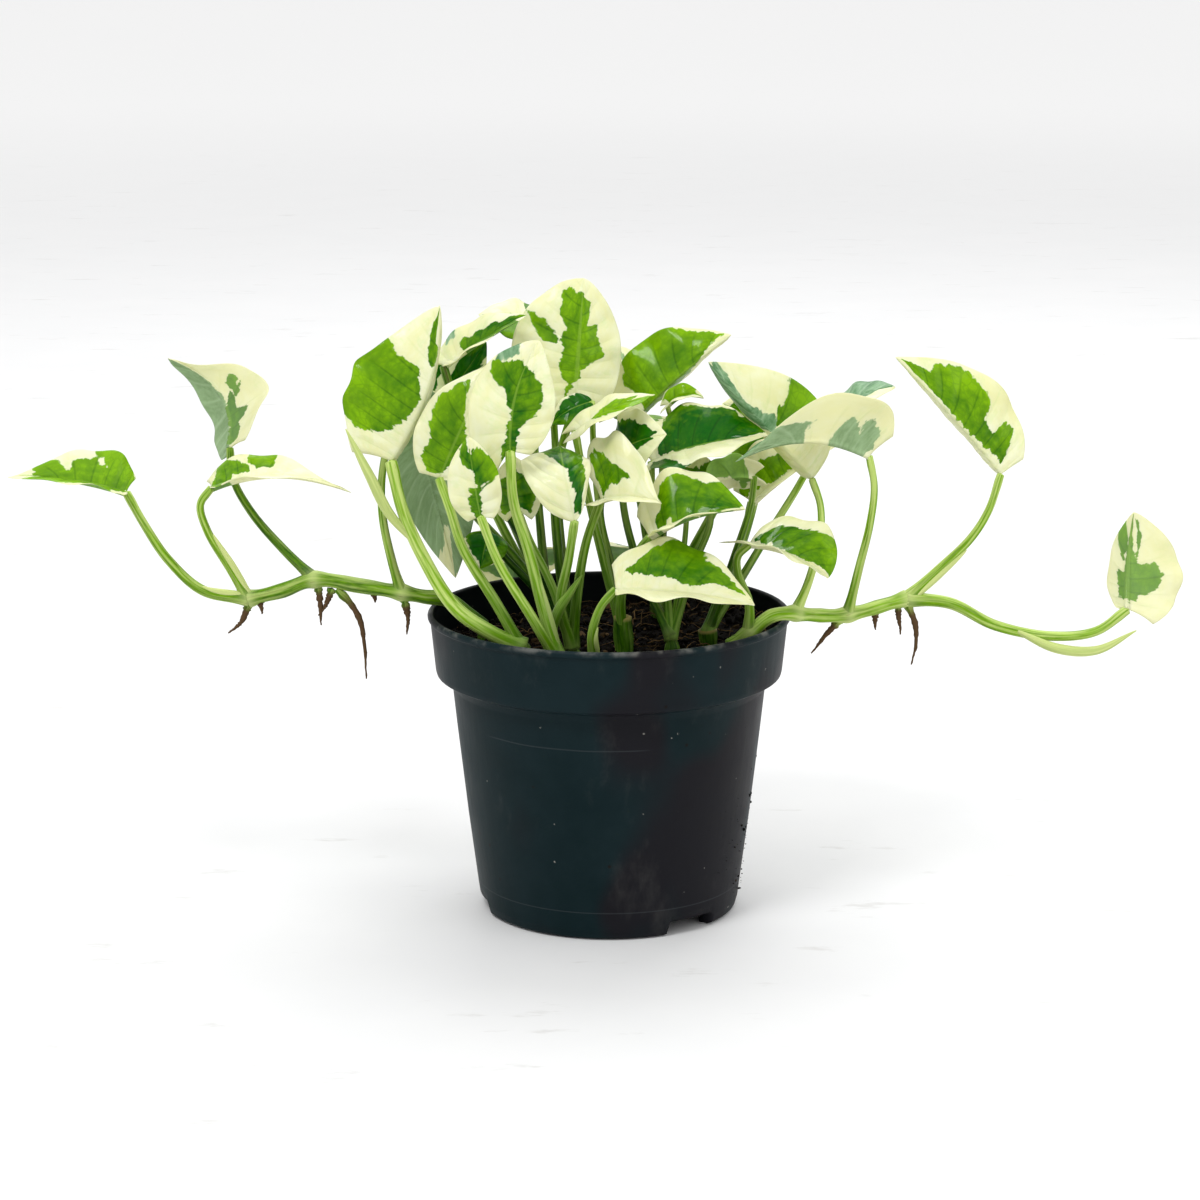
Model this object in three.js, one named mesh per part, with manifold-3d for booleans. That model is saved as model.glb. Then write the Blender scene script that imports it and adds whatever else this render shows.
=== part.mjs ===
// A young variegated pothos in a round plastic nursery pot, with two vines that reach out over the rim.
// Millimetres, +Z up. The origin is the centre of the pot's foot, and -Y is the plant's front.
import * as THREE from "three";
import { mergeVertices } from "three/addons/utils/BufferGeometryUtils.js";
import Module from "manifold-3d";

// Pot
const RIM_RADIUS = 65;
const POT_HEIGHT = 109;
const FOOT_RADIUS = 46.5;
const WALL_TOP_RADIUS = 56.2;
const BAND_FOOT_RADIUS = 62;
const BAND_TOP_RADIUS = 64;
const BAND_HEIGHT = 23;
const LIP_HEIGHT = 2.6;
const POT_WALL = 1.4;
const POT_FLOOR = 7;
const POT_SIDES = 36;
const FOOT_RING = { inner: 40.5, outer: 44, thickness: 1.5 };
const CENTRE_PAD = 6;
const NOTCH = { count: 3, width: 20, height: 5.5, depth: 9, firstTurn: 39 };
const DRAIN_HOLE = { count: 6, radius: 4.5, circle: 30 };

// Soil
const SOIL_LEVEL = 98;
const SOIL_GAP = 0.3;
const SOIL_RINGS = 4;
const SOIL_SIDES = 24;
const HOLE_CLEARANCE = 0.45;
const HOLE_SIDES = 10;

// Stems
const FOOT_DEPTH = 16;
const FOOT_TOP = 103.5;
const STALK_SIDES = 6;
const ROOT_SIDES = 5;
const ROOT_RADIUS = 1.9;
const SHEATH_RADIUS = 1.5;
const STEM_SIDES = 8;
const JOINT_GAP = 0.6;

// Leaf blades
const BLADE_THICKNESS = 0.8;
const BLADE_ROWS = 8;
const BLADE_COLUMNS = 2;
const BROADEST = 0.38;
const LOBE_DEPTH = 0.24;
const LOBE_ANGLE = 0.5;
const TIP_POWER = 1.7;
const TIP_TAPER = 0.3;
const VEIN_POWER = 1.4;
const VEIN_BEND = 1.5;
const WAVE_HEIGHT = 0.07;
const WAVE_COUNT = 2.5;

const RIGHT_ANGLE = Math.PI / 2;
const radians = THREE.MathUtils.degToRad;
const point = ([x, y, z]) => new THREE.Vector3(x, y, z);

const wasm = await Module();
wasm.setup();

const POT_MATERIAL = new THREE.MeshStandardMaterial({ color: 0x232c31, roughness: 0.5, metalness: 0 });
const SOIL_MATERIAL = new THREE.MeshStandardMaterial({ color: 0x1d1712, roughness: 1, metalness: 0 });
const STEM_MATERIAL = new THREE.MeshStandardMaterial({ color: 0x7fa63c, roughness: 0.45, metalness: 0 });
const LEAF_MATERIAL = new THREE.MeshStandardMaterial({ color: 0x8fb84a, roughness: 0.35, metalness: 0 });

// One leaf: its stalk's route, which ends at the blade's joint, and how the blade lies. tip is where the
// blade ends, face is the azimuth and elevation in degrees that its upper side looks to (azimuth 0 is the
// front, 90 the right), and arch is how far the rib bows out to the upper side. left and right give each
// half's width, its fold from the rib and its further curl at the edge in degrees, up for a cupped blade, how
// drawn out its point is and how far its base lobe reaches back. sway bows the rib to the right, and broadest
// is where along the rib the blade is widest.
function leaf(stalk, tip, face, arch, left, right, shape = {}) {
  const plain = { thick: 1.8, sway: 0, broadest: BROADEST };
  return { stalk, tip, face, arch, left, right, ...plain, ...shape };
}

const VINES = {
  vine_left: {
    foot: [-45, 3],
    radius: 2.9,
    stem: [
      [-45, 3, 102], [-51, 2, 107], [-58, 1, 112.5], [-66, -1, 114], [-74, -3, 116], [-89, -3, 118.5],
      [-105, -2, 120.5], [-117, 0, 116], [-129, 0, 113],
    ],
    leaves: [
      leaf([[-129, 0, 113], [-145, -2, 116.5], [-157, -3, 128], [-165, -4, 141], [-171, -4, 152.5]],
        [-211, -14, 160], [0, 74], 2, [13, 21, 0, 1.7, 0], [15, 33, 0, 3.2, 0.1],
        { thick: 2, broadest: 0.18 }),
      leaf([[-105, -2, 120.5], [-116, 3, 130], [-128, 9, 142.5], [-135, 14, 154], [-136, 15, 165]],
        [-159, 28, 195.5], [150, 20], 11, [23, 5, 0, 4, 0.1], [14, 5, 0, 1.5, 0.05], { broadest: 0.25 }),
      leaf([[-129, 0, 113], [-135, -1, 124], [-143, -2, 138.5], [-145, -3, 148], [-141, -3, 154]],
        [-91, -9, 153.5], [0, 78], 5.5, [15, 12, 0, 4.5, 0.1], [10, 20, 0, 1.7, 0], { broadest: 0.22 }),
      leaf([[-74, -3, 116], [-77, -6, 128], [-80, -8, 145], [-80, -8, 159], [-76, -12.5, 177], [-71, -2.5, 187]],
        [-55, 3, 120], [185, 10], 3, [12.5, 8, 0, 1.7, 0.05], [17, 8, 0, 1.7, 0.05]),
    ],
    roots: [
      [[-129, 0, 111], [-132, -1, 104], [-136, -2, 101]],
      [[-125, 0, 112], [-124, -1, 109]],
      [[-104, -2, 118], [-103, -3, 112], [-103, -3, 104]],
      [[-99, -2, 117], [-101, -3, 112], [-104, -4, 108]],
      [[-97, -3, 117], [-92, -5, 112], [-89, -6, 106], [-88, -6, 98], [-88, -6, 85]],
      [[-84, -3, 116], [-83, -3, 112]],
      [[-73, -3, 113], [-72, -3, 107], [-73, -3, 101]],
    ],
  },
  vine_right: {
    foot: [42, -26],
    radius: 2.8,
    stem: [
      [42, -26, 102], [49, -24, 106], [57, -21, 111.5], [64, -18, 112], [70, -14, 110.5], [84, -8, 109],
      [106, -4, 114],
    ],
    leaves: [
      leaf([[106, -4, 114], [117, -3, 124], [128.5, -4, 136], [134.5, -4, 146], [138.5, -4, 159]],
        [101, 2, 200], [10, 20], 3, [14, -98, -10, 1.7, 0], [20.5, 0, 0, 1.6, 0.08]),
      leaf([[106, -4, 114], [122, -3, 112], [138, -3, 104], [158, -3, 100], [174, -4, 102], [185, -4, 110]],
        [188, 8, 143], [190, 10], 2, [20, -5, 0, 1.2, 0.2], [10, 60, 10, 1.7, 0], { thick: 2.2 }),
      leaf([[66, -17, 112], [71, -10, 122], [75, -6, 138], [75, -3, 148], [72, -1.5, 157]],
        [35, 4, 198], [-15, 20], 2, [10, -60, -20, 1.7, 0], [20, 0, 0, 1.7, 0]),
      leaf([[85, -8, 109], [88.5, -10, 126], [92, -14, 144], [93, -16, 157], [91, -17, 168]],
        [44, -22, 167], [180, 20], 4, [22, 0, 0, 4.5, 0.1], [14, 78, 0, 1.7, 0],
        { sway: -5, broadest: 0.12 }),
      leaf([[49, -24, 106], [49, -24, 117], [45, -24, 128], [45, -24, 134], [49, -24, 138]],
        [76, -34, 128], [0, 71], 3, [15.5, 33, 0, 0.9, 0], [13, 33, 0, 1.7, 0.4], { broadest: 0.65 }),
    ],
    roots: [
      [[82, -8, 107], [76, -10, 101], [72, -11, 97]],
      [[95, -6, 110], [95, -6, 103]],
      [[103, -4, 112], [104, -4, 101]],
      [[106, -4, 113], [109, -5, 105], [109, -5, 97], [107, -5, 90]],
    ],
    sheaths: [[[146, -4, 102], [160, -5, 96], [174, -6, 95.5], [188, -7, 103]]],
  },
};

const CUTTINGS = {
  cutting_a: {
    foot: [-30, -34],
    radius: 3.2,
    leaves: [
      leaf([[-30, -34, 103], [-42, -34, 109], [-54, -30, 117], [-65, -26, 134], [-72, -24, 150],
        [-76, -22, 167]], [-59, -10, 220], [30, 5], 4, [27.5, -30, -5, 1.3, 0.16], [13, -55, -10, 1.7, 0],
        { thick: 2.8, sway: 3.5 }),
      leaf([[-30, -34, 102], [-39, -32, 118], [-51, -30, 138], [-55, -30, 151], [-59, -27, 162]],
        [-41, -18, 200], [-5, 15], 3, [15, 0, 0, 1.5, 0.08], [12, 0, 0, 1.7, 0], { thick: 2.1 }),
    ],
    sheaths: [[[-68, -25.5, 139], [-77, -26, 150], [-83, -28, 163], [-91, -30, 180]]],
  },
  cutting_b: {
    foot: [-18, -43],
    radius: 3.2,
    leaves: [
      leaf([[-18, -43, 102], [-23, -43, 120], [-28, -42, 140], [-33, -41, 157], [-34, -40, 174]],
        [-24, -32, 211], [0, 20], 3, [15, 5, -10, 1.4, 0.38], [14.5, 0, -10, 1.4, 0.1],
        { thick: 2.3, sway: -3 }),
      leaf([[-18, -43, 101], [-27, -48, 118], [-38, -49, 137], [-44, -49, 153]],
        [-48, -46, 180], [-10, 20], 2, [9.5, 0, 0, 1.3, 0.1], [9, 0, 0, 1.3, 0.1], { thick: 2 }),
    ],
  },
  cutting_c: {
    foot: [-13, -27],
    radius: 3.2,
    leaves: [
      leaf([[-13, -27, 102], [-17, -32, 118], [-14, -37, 136], [-12, -40, 149.5]],
        [-17, -22, 172.5], [-10, 40], 8, [14.5, 0, 0, 0.6, 0], [11, -35, 0, 0.8, 0],
        { thick: 2, broadest: 0.85 }),
      leaf([[-13, -27, 102], [-11, -29, 123], [-8, -29, 140], [-3, -25, 154]],
        [18, -36, 155], [0, 72], 2, [25, 45, 0, 2.8, 0.3], [11, 14, 0, 1.7, 0], { thick: 2, broadest: 0.02 }),
      leaf([[-13, -27, 101], [-20, -21, 122], [-28, -17, 138], [-32, -16, 148]],
        [-34, -14, 168], [0, 10], 1, [9, 0], [9, 0]),
    ],
  },
  cutting_d: {
    foot: [-5, -47],
    radius: 2.8,
    leaves: [
      leaf([[-5, -47, 102], [-6, -51, 112], [-3, -52, 122], [2, -49, 127.5]],
        [50, -47, 121.5], [0, 67], 2, [21, 22, 0, 1.7, 0.08], [18, 27, 0, 1.7, 0.05]),
    ],
  },
  cutting_e: {
    foot: [5, -19],
    radius: 3.6,
    stump: 111,
    leaves: [
      leaf([[5, -19, 103], [4, -22, 117], [7, -25, 131], [14, -31, 142]],
        [47, -34, 152.5], [0, 70], 3, [21, 27, 0, 1.7, 0.1], [14, 32, 0, 1.1, 0], { thick: 2 }),
      leaf([[5, -19, 103], [1, -8, 126], [-3, -1, 146], [0, -1, 157], [2, -4, 165.5]],
        [20, -18, 176], [10, 35], 3, [14, 0, 0, 1.7, 0.1], [11, 0, 0, 1.7, 0.05]),
      leaf([[5, -19, 104], [-2, -14, 130], [-8, -11, 155], [-12, -12, 176]],
        [16, -12, 189], [0, 70], 2, [9, 0], [9, 15]),
      leaf([[5, -19, 104], [-1, -7, 130], [-5, 3, 160], [-6, 3, 184]],
        [-21, 2, 176], [0, 45], 2, [6, 0, 0, 1.7, 0], [6, 0, 0, 1.7, 0], { thick: 1.6 }),
    ],
  },
  cutting_f: {
    foot: [22, -18],
    radius: 3.2,
    leaves: [
      leaf([[22, -18, 102], [20, -4, 122], [16, 0, 142], [15, 2, 162.5]],
        [56, -3.5, 173], [0, 69], 2, [20.5, 17], [20, 16, 0, 1.7, 0.1]),
      leaf([[22, -18, 103], [10, 6, 126], [5, 20, 150], [11, 26, 175]],
        [44, 28, 204], [-15, 25], 3, [20, 0, 0, 1.5, 0.4], [14, -103, 0, 1.7, 0]),
      leaf([[22, -18, 103], [28, 14, 140], [27, 21, 160], [21, 20, 179.5]],
        [34, 18.5, 182.5], [0, 60], 3, [5, 30], [5, 30], { thick: 1.3 }),
      leaf([[22, -18, 102], [30, -2, 125], [36, 1, 140], [36, 0, 154]],
        [22, -3, 161], [0, 20], 1, [9, 0, 0, 1.7, 0], [9, 0, 0, 1.7, 0]),
    ],
  },
  cutting_g: {
    foot: [35, -12],
    radius: 3.4,
    stump: 104.5,
    leaves: [
      leaf([[35, -12, 103], [39, -7, 114], [45, -2, 128], [49, 3, 138], [51, 6, 147]],
        [85, 19, 167], [-10, 65], 2, [17, 20, 0, 1.7, 0.1], [7, 36, 0, 1.7, 0.05], { thick: 2.1 }),
      leaf([[35, -12, 103], [44, -10, 130], [50, -11, 150], [51, -12, 160]],
        [31, -14, 154], [180, 45], 3, [11, 10], [11, 10], { thick: 1.5 }),
      leaf([[35, -12, 103], [50, 16, 135], [56, 32, 155], [58, 30, 168]],
        [41, 28, 179], [0, 30], 2, [15, 0, 0, 1.7, 0], [15, 0, 0, 1.7, 0]),
      leaf([[35, -12, 103], [55, 12, 130], [72, 26, 155], [80, 29, 175]],
        [103, 22, 186], [0, 70], 2, [11, 0, 0, 1.7, 0.1], [11, 10, 0, 1.7, 0.05]),
    ],
  },
  cutting_h: {
    foot: [-14, 5],
    radius: 3.4,
    leaves: [
      leaf([[-14, 5, 102], [-18, 4, 127], [-19, 9, 156], [-12, 11, 183]],
        [-9, 24, 225], [0, 25], 2, [24, 0, 0, 0.9], [17, -22, -10, 1.2], { thick: 2 }),
      leaf([[-14, 5, 102], [-30, 15, 130], [-50, 15, 165], [-59, 13, 195]],
        [-29, 8, 214], [0, 60], 1, [11, 10], [11, 34, 0, 1.7, 0], { thick: 2 }),
      leaf([[-14, 5, 102], [-35, 18, 125], [-56, 26, 148], [-65, 27, 170]],
        [-44, 24, 202], [-10, 10], 2, [13, 0, 0, 1.7, 0], [10, 0, 0, 1.7, 0], { thick: 2 }),
      leaf([[-14, 5, 103], [-18, 18, 140], [-20, 28, 175], [-23, 33, 203]],
        [-47, 30, 211], [0, 60], 3, [12, 0, 0, 1.7, 0.1], [12, 0, 0, 1.7, 0]),
      leaf([[-14, 5, 102], [-28, 6, 117], [-38, 5, 128], [-43, 1.5, 137]],
        [-46, -5, 125], [0, 10], 2, [8, 0, 0, 1.7, 0], [8, 0, 0, 1.7, 0], { thick: 1.6 }),
    ],
  },
  cutting_i: {
    foot: [-22, 32],
    radius: 3.2,
    leaves: [
      leaf([[-22, 32, 102], [-36, 38, 125], [-46, 44, 145], [-52, 46, 160]],
        [-66, 62, 138], [215, 35], 6, [20, 5], [20, 5], { thick: 2 }),
      leaf([[-22, 32, 102], [-25, 42, 130], [-27, 46, 158], [-27, 46, 178]],
        [-31, 72, 168], [185, 50], 6, [22, 5], [22, 5], { thick: 2 }),
      leaf([[-22, 32, 102], [-28, 46, 112], [-31, 56, 116], [-32, 63, 117]],
        [-38, 84, 94], [190, 40], 5, [20, 5], [20, 5], { thick: 2 }),
      leaf([[-22, 32, 103], [-38, 34, 140], [-50, 35, 165], [-53, 34, 180]],
        [-64, 54, 192], [200, 30], -2, [15, 5, 0, 1.7, 0], [13, 5, 0, 1.7, 0], { thick: 1.8 }),
    ],
  },
  cutting_j: {
    foot: [18, 30],
    radius: 3.2,
    leaves: [
      leaf([[18, 30, 102], [32, 38, 125], [44, 44, 148], [48, 44, 164]],
        [62, 64, 150], [150, 40], 6, [17, 5], [17, 5], { thick: 2 }),
      leaf([[18, 30, 102], [20, 42, 128], [20, 47, 152], [20, 47, 168]],
        [24, 72, 156], [175, 50], 6, [20, 5], [20, 5], { thick: 2 }),
      leaf([[18, 30, 102], [17, 46, 112], [15, 57, 116], [14, 64, 117]],
        [16, 86, 94], [170, 40], 5, [20, 5], [20, 5], { thick: 2 }),
      leaf([[18, 30, 103], [12, 36, 140], [8, 40, 160], [7, 41, 175]],
        [4, 60, 195], [185, 30], -2, [15, 5, 0, 1.7, 0], [15, 5, 0, 1.7, 0], { thick: 2 }),
    ],
  },
};

// A closed geometry as a manifold-3d solid, with the vertices that its faces share merged.
function solidOf(geometry) {
  const bare = new THREE.BufferGeometry().setAttribute("position", geometry.getAttribute("position"));
  if (geometry.index) bare.setIndex(geometry.index);
  const merged = mergeVertices(bare, 1e-4);
  return new wasm.Manifold(
    new wasm.Mesh({
      numProp: 3,
      vertProperties: new Float32Array(merged.attributes.position.array),
      triVerts: new Uint32Array(merged.index.array),
    }),
  );
}

// A geometry from a list of vertices and a list of corner indices, three a triangle.
function geometryOf(vertices, corners) {
  const positions = vertices.flatMap((vertex) => vertex.toArray());
  return new THREE.BufferGeometry()
    .setAttribute("position", new THREE.Float32BufferAttribute(positions, 3))
    .setIndex(corners);
}

function meshOf(name, shape, material) {
  let geometry = shape;
  if (!shape.isBufferGeometry) {
    const { vertProperties, triVerts } = shape.getMesh();
    geometry = new THREE.BufferGeometry()
      .setAttribute("position", new THREE.BufferAttribute(vertProperties, 3))
      .setIndex(new THREE.BufferAttribute(triVerts, 1));
  }
  geometry.computeVertexNormals();
  const mesh = new THREE.Mesh(geometry, material.clone());
  mesh.name = name;
  return mesh;
}

// A closed solid of revolution round the pot's axis, from a profile of [radius, height] pairs.
function turned(profile, sides) {
  const outline = profile.map(([radius, height]) => new THREE.Vector2(radius, height));
  return solidOf(new THREE.LatheGeometry(outline, sides).rotateX(RIGHT_ANGLE));
}

// A round upright bar from low to high, with its axis at x, y.
function upright(x, y, radius, low, high, sides) {
  const bar = new THREE.CylinderGeometry(radius, radius, high - low, sides).rotateX(RIGHT_ANGLE);
  return solidOf(bar.translate(x, y, (low + high) / 2));
}

// The pot's outer wall has a slight belly, a hollow band with a rounded foot and a rolled lip.
function potOuterProfile() {
  const bandFoot = POT_HEIGHT - BAND_HEIGHT;
  return [
    [FOOT_RING.inner, 0],
    [FOOT_RING.outer, 0],
    [FOOT_RADIUS - 0.6, 1],
    [FOOT_RADIUS + 0.3, 4],
    [FOOT_RADIUS + 4.3, bandFoot * 0.4],
    [WALL_TOP_RADIUS - 1.6, bandFoot * 0.78],
    [WALL_TOP_RADIUS, bandFoot - 4],
    [WALL_TOP_RADIUS + 1.2, bandFoot - 1.6],
    [BAND_FOOT_RADIUS - 1.6, bandFoot],
    [BAND_FOOT_RADIUS, bandFoot + 1.8],
    [BAND_TOP_RADIUS, POT_HEIGHT - LIP_HEIGHT],
    [RIM_RADIUS - 0.2, POT_HEIGHT - LIP_HEIGHT + 0.5],
    [RIM_RADIUS, POT_HEIGHT - 1],
    [RIM_RADIUS - 0.8, POT_HEIGHT],
    [RIM_RADIUS - 2, POT_HEIGHT],
  ];
}

function potInnerProfile() {
  const bandFoot = POT_HEIGHT - BAND_HEIGHT;
  return [
    [BAND_TOP_RADIUS - POT_WALL, POT_HEIGHT - 1.2],
    [BAND_FOOT_RADIUS - POT_WALL, bandFoot + 3.4],
    [BAND_FOOT_RADIUS - 3.4, bandFoot + 1.6],
    [WALL_TOP_RADIUS - 0.6, bandFoot + 0.2],
    [WALL_TOP_RADIUS - POT_WALL, bandFoot - 3],
    [FOOT_RADIUS + 4.3 - POT_WALL, bandFoot * 0.4],
    [FOOT_RADIUS + 0.5 - POT_WALL, POT_FLOOR],
  ];
}

// The pot stands on a flat ring and a small pad under the middle of its raised floor. Notches in the ring let
// water run out from the drain holes.
function pot() {
  const underFloor = POT_FLOOR - POT_WALL;
  const shell = [
    ...potOuterProfile(),
    ...potInnerProfile(),
    [0, POT_FLOOR],
    [0, 0],
    [CENTRE_PAD, 0],
    [CENTRE_PAD + 1, underFloor],
    [FOOT_RADIUS - POT_WALL, underFloor],
    [FOOT_RADIUS - POT_WALL - 1, FOOT_RING.thickness],
    [FOOT_RING.inner, FOOT_RING.thickness],
    [FOOT_RING.inner, 0],
  ];
  let solid = turned(shell, POT_SIDES);
  for (let i = 0; i < NOTCH.count; i++) {
    const turn = radians(NOTCH.firstTurn + (360 / NOTCH.count) * i) - RIGHT_ANGLE;
    const notch = new THREE.BoxGeometry(2 * NOTCH.depth, NOTCH.width, 2 * NOTCH.height)
      .translate(FOOT_RADIUS + 1, 0, 0)
      .rotateZ(turn);
    solid = solid.subtract(solidOf(notch));
  }
  for (let i = 0; i < DRAIN_HOLE.count; i++) {
    const turn = radians((360 / DRAIN_HOLE.count) * i);
    const x = DRAIN_HOLE.circle * Math.cos(turn);
    const y = DRAIN_HOLE.circle * Math.sin(turn);
    solid = solid.subtract(upright(x, y, DRAIN_HOLE.radius, underFloor - 2, POT_FLOOR + 2, HOLE_SIDES));
  }
  return meshOf("pot", solid, POT_MATERIAL);
}

// The soil's surface: heaped towards the right at the back, lower at the back left, with shallow lumps.
function soilHeight(x, y) {
  const heap = Math.max(0, 0.75 * x + 0.66 * y) / RIM_RADIUS;
  const dip = Math.max(0, 0.7 * y - 0.7 * x) / RIM_RADIUS;
  return SOIL_LEVEL + 6 * heap ** 3 - 3 * dip ** 2 + 0.5 * Math.sin(x / 7) * Math.cos(y / 6);
}

function soil(feet) {
  const inner = potInnerProfile().filter(([, z]) => z < SOIL_LEVEL - 6).reverse();
  const bandWall = ([low, high], z) => low[0] + ((high[0] - low[0]) * (z - low[1])) / (high[1] - low[1]);
  const [bandTop, bandLow] = potInnerProfile();
  const vertices = [new THREE.Vector3(0, 0, POT_FLOOR + SOIL_GAP)];
  const corners = [];
  const ringOf = (radius, height) => {
    const start = vertices.length;
    for (let i = 0; i < SOIL_SIDES; i++) {
      const turn = (2 * Math.PI * i) / SOIL_SIDES;
      const [x, y] = [radius * Math.cos(turn), radius * Math.sin(turn)];
      vertices.push(new THREE.Vector3(x, y, height(x, y)));
    }
    return start;
  };
  // Straight sides between the corners would cut into the pot's wall, so the rings shrink by that much.
  const fit = (radius) => (radius - SOIL_GAP) * Math.cos(Math.PI / POT_SIDES);
  const rings = inner.map(([r, z]) => ringOf(fit(r), () => z + SOIL_GAP));
  const edge = fit(bandWall([bandLow, bandTop], SOIL_LEVEL - 4));
  rings.push(ringOf(edge, soilHeight));
  for (let k = SOIL_RINGS - 1; k > 0; k--) rings.push(ringOf((edge * k) / SOIL_RINGS, soilHeight));
  const top = vertices.length;
  vertices.push(new THREE.Vector3(0, 0, soilHeight(0, 0)));
  for (let i = 0; i < SOIL_SIDES; i++) {
    const j = (i + 1) % SOIL_SIDES;
    corners.push(0, rings[0] + j, rings[0] + i);
    corners.push(top, rings.at(-1) + i, rings.at(-1) + j);
    for (let k = 1; k < rings.length; k++) {
      const [low, high] = [rings[k - 1], rings[k]];
      corners.push(low + i, low + j, high + j, low + i, high + j, high + i);
    }
  }
  let solid = solidOf(geometryOf(vertices, corners));
  for (const { foot: [x, y], radius } of feet) {
    const bottom = SOIL_LEVEL - FOOT_DEPTH - SOIL_GAP;
    solid = solid.subtract(upright(x, y, radius + HOLE_CLEARANCE, bottom, SOIL_LEVEL + 12, HOLE_SIDES));
  }
  return meshOf("soil", solid, SOIL_MATERIAL);
}

// A closed round tube along a smooth curve through the route's points. radiusAt gives its radius from 0 at
// the start to 1 at the end, and a rounded end adds a dome past the last point.
function tube(route, radiusAt, sides, steps, rounded = false) {
  const curve = new THREE.CatmullRomCurve3(route.map(point), false, "centripetal");
  const { normals, binormals, tangents } = curve.computeFrenetFrames(steps, false);
  const vertices = [];
  const corners = [];
  const ring = (centre, k, radius) => {
    for (let i = 0; i < sides; i++) {
      const turn = (2 * Math.PI * i) / sides;
      const out = normals[k].clone().multiplyScalar(Math.cos(turn) * radius);
      vertices.push(out.addScaledVector(binormals[k], Math.sin(turn) * radius).add(centre));
    }
  };
  for (let k = 0; k <= steps; k++) ring(curve.getPointAt(k / steps), k, radiusAt(k / steps));
  const end = curve.getPointAt(1);
  let rings = steps + 1;
  if (rounded) {
    ring(end.clone().addScaledVector(tangents[steps], 0.7 * radiusAt(1)), steps, 0.7 * radiusAt(1));
    end.addScaledVector(tangents[steps], radiusAt(1));
    rings++;
  }
  const start = vertices.length;
  vertices.push(curve.getPointAt(0), end);
  for (let i = 0; i < sides; i++) {
    const j = (i + 1) % sides;
    corners.push(start, j, i);
    corners.push(start + 1, (rings - 1) * sides + i, (rings - 1) * sides + j);
    for (let k = 1; k < rings; k++) {
      const [low, high] = [(k - 1) * sides, k * sides];
      corners.push(low + i, low + j, high + j, low + i, high + j, high + i);
    }
  }
  return solidOf(geometryOf(vertices, corners));
}

// A leaf stalk, thicker at its foot, whose domed tip ends a hair's breadth from the blade.
function stalkSolid({ stalk, thick }) {
  const tipRadius = 0.72 * thick;
  const joint = point(stalk.at(-1));
  const last = point(stalk.at(-2));
  const retreat = tipRadius + BLADE_THICKNESS / 2 + JOINT_GAP;
  const end = joint.clone().addScaledVector(last.sub(joint).normalize(), retreat).toArray();
  const radiusAt = (t) => THREE.MathUtils.lerp(thick * 1.15, tipRadius, Math.sqrt(t));
  return tube([...stalk.slice(0, -1), end], radiusAt, STALK_SIDES, 2 * stalk.length - 3, true);
}

function rootSolid(route) {
  return tube(route, (t) => ROOT_RADIUS * (1 - 0.75 * t), ROOT_SIDES, 2 * route.length - 3);
}

// The papery sheath that a new leaf leaves on its stalk, as a spindle that grows out of the stalk.
function sheathSolid(route) {
  const radiusAt = (t) => SHEATH_RADIUS * Math.sin(Math.PI * (0.3 + 0.62 * t));
  return tube(route, radiusAt, ROOT_SIDES, 2 * route.length - 2);
}

// A leafy stem: its round foot in the soil, its leaf stalks, and its creeping stem, roots and sheaths if any.
function leafyStem(name, plan) {
  const { foot: [x, y], radius, stump, stem, leaves, roots = [], sheaths = [] } = plan;
  const bottom = SOIL_LEVEL - FOOT_DEPTH;
  const pieces = [upright(x, y, radius, bottom, stump ?? FOOT_TOP, HOLE_SIDES)];
  if (stem) pieces.push(tube(stem, () => radius, STEM_SIDES, 2 * stem.length, true));
  pieces.push(...leaves.map(stalkSolid), ...roots.map(rootSolid), ...sheaths.map(sheathSolid));
  return meshOf(name, wasm.Manifold.union(pieces), STEM_MATERIAL);
}

// The blade's rib and its frame: a bowed line from the joint to the tip, the right-hand side and the face.
function ribFrame({ stalk, tip, face: [azimuth, elevation], arch, sway }, u) {
  const joint = point(stalk.at(-1));
  const end = point(tip);
  const level = Math.cos(radians(elevation));
  const towards = [Math.sin(radians(azimuth)) * level, -Math.cos(radians(azimuth)) * level];
  const chord = end.clone().sub(joint).normalize();
  const face = point([...towards, Math.sin(radians(elevation))]).projectOnPlane(chord).normalize();
  const bend = joint.clone().lerp(end, 0.5).addScaledVector(face, 2 * arch);
  bend.addScaledVector(chord.cross(face), 2 * sway);
  const along = Math.max(u, 0);
  const first = bend.clone().sub(joint);
  const second = end.clone().sub(bend);
  const slope = first.clone().lerp(second, along).multiplyScalar(2);
  const centre = joint.clone().lerp(bend, along).lerp(bend.clone().lerp(end, along), along);
  if (u < 0) centre.addScaledVector(slope, u);
  const tangent = slope.normalize();
  const right = new THREE.Vector3().crossVectors(tangent, face).normalize();
  const normal = new THREE.Vector3().crossVectors(right, tangent);
  return { centre, right, normal };
}

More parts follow.
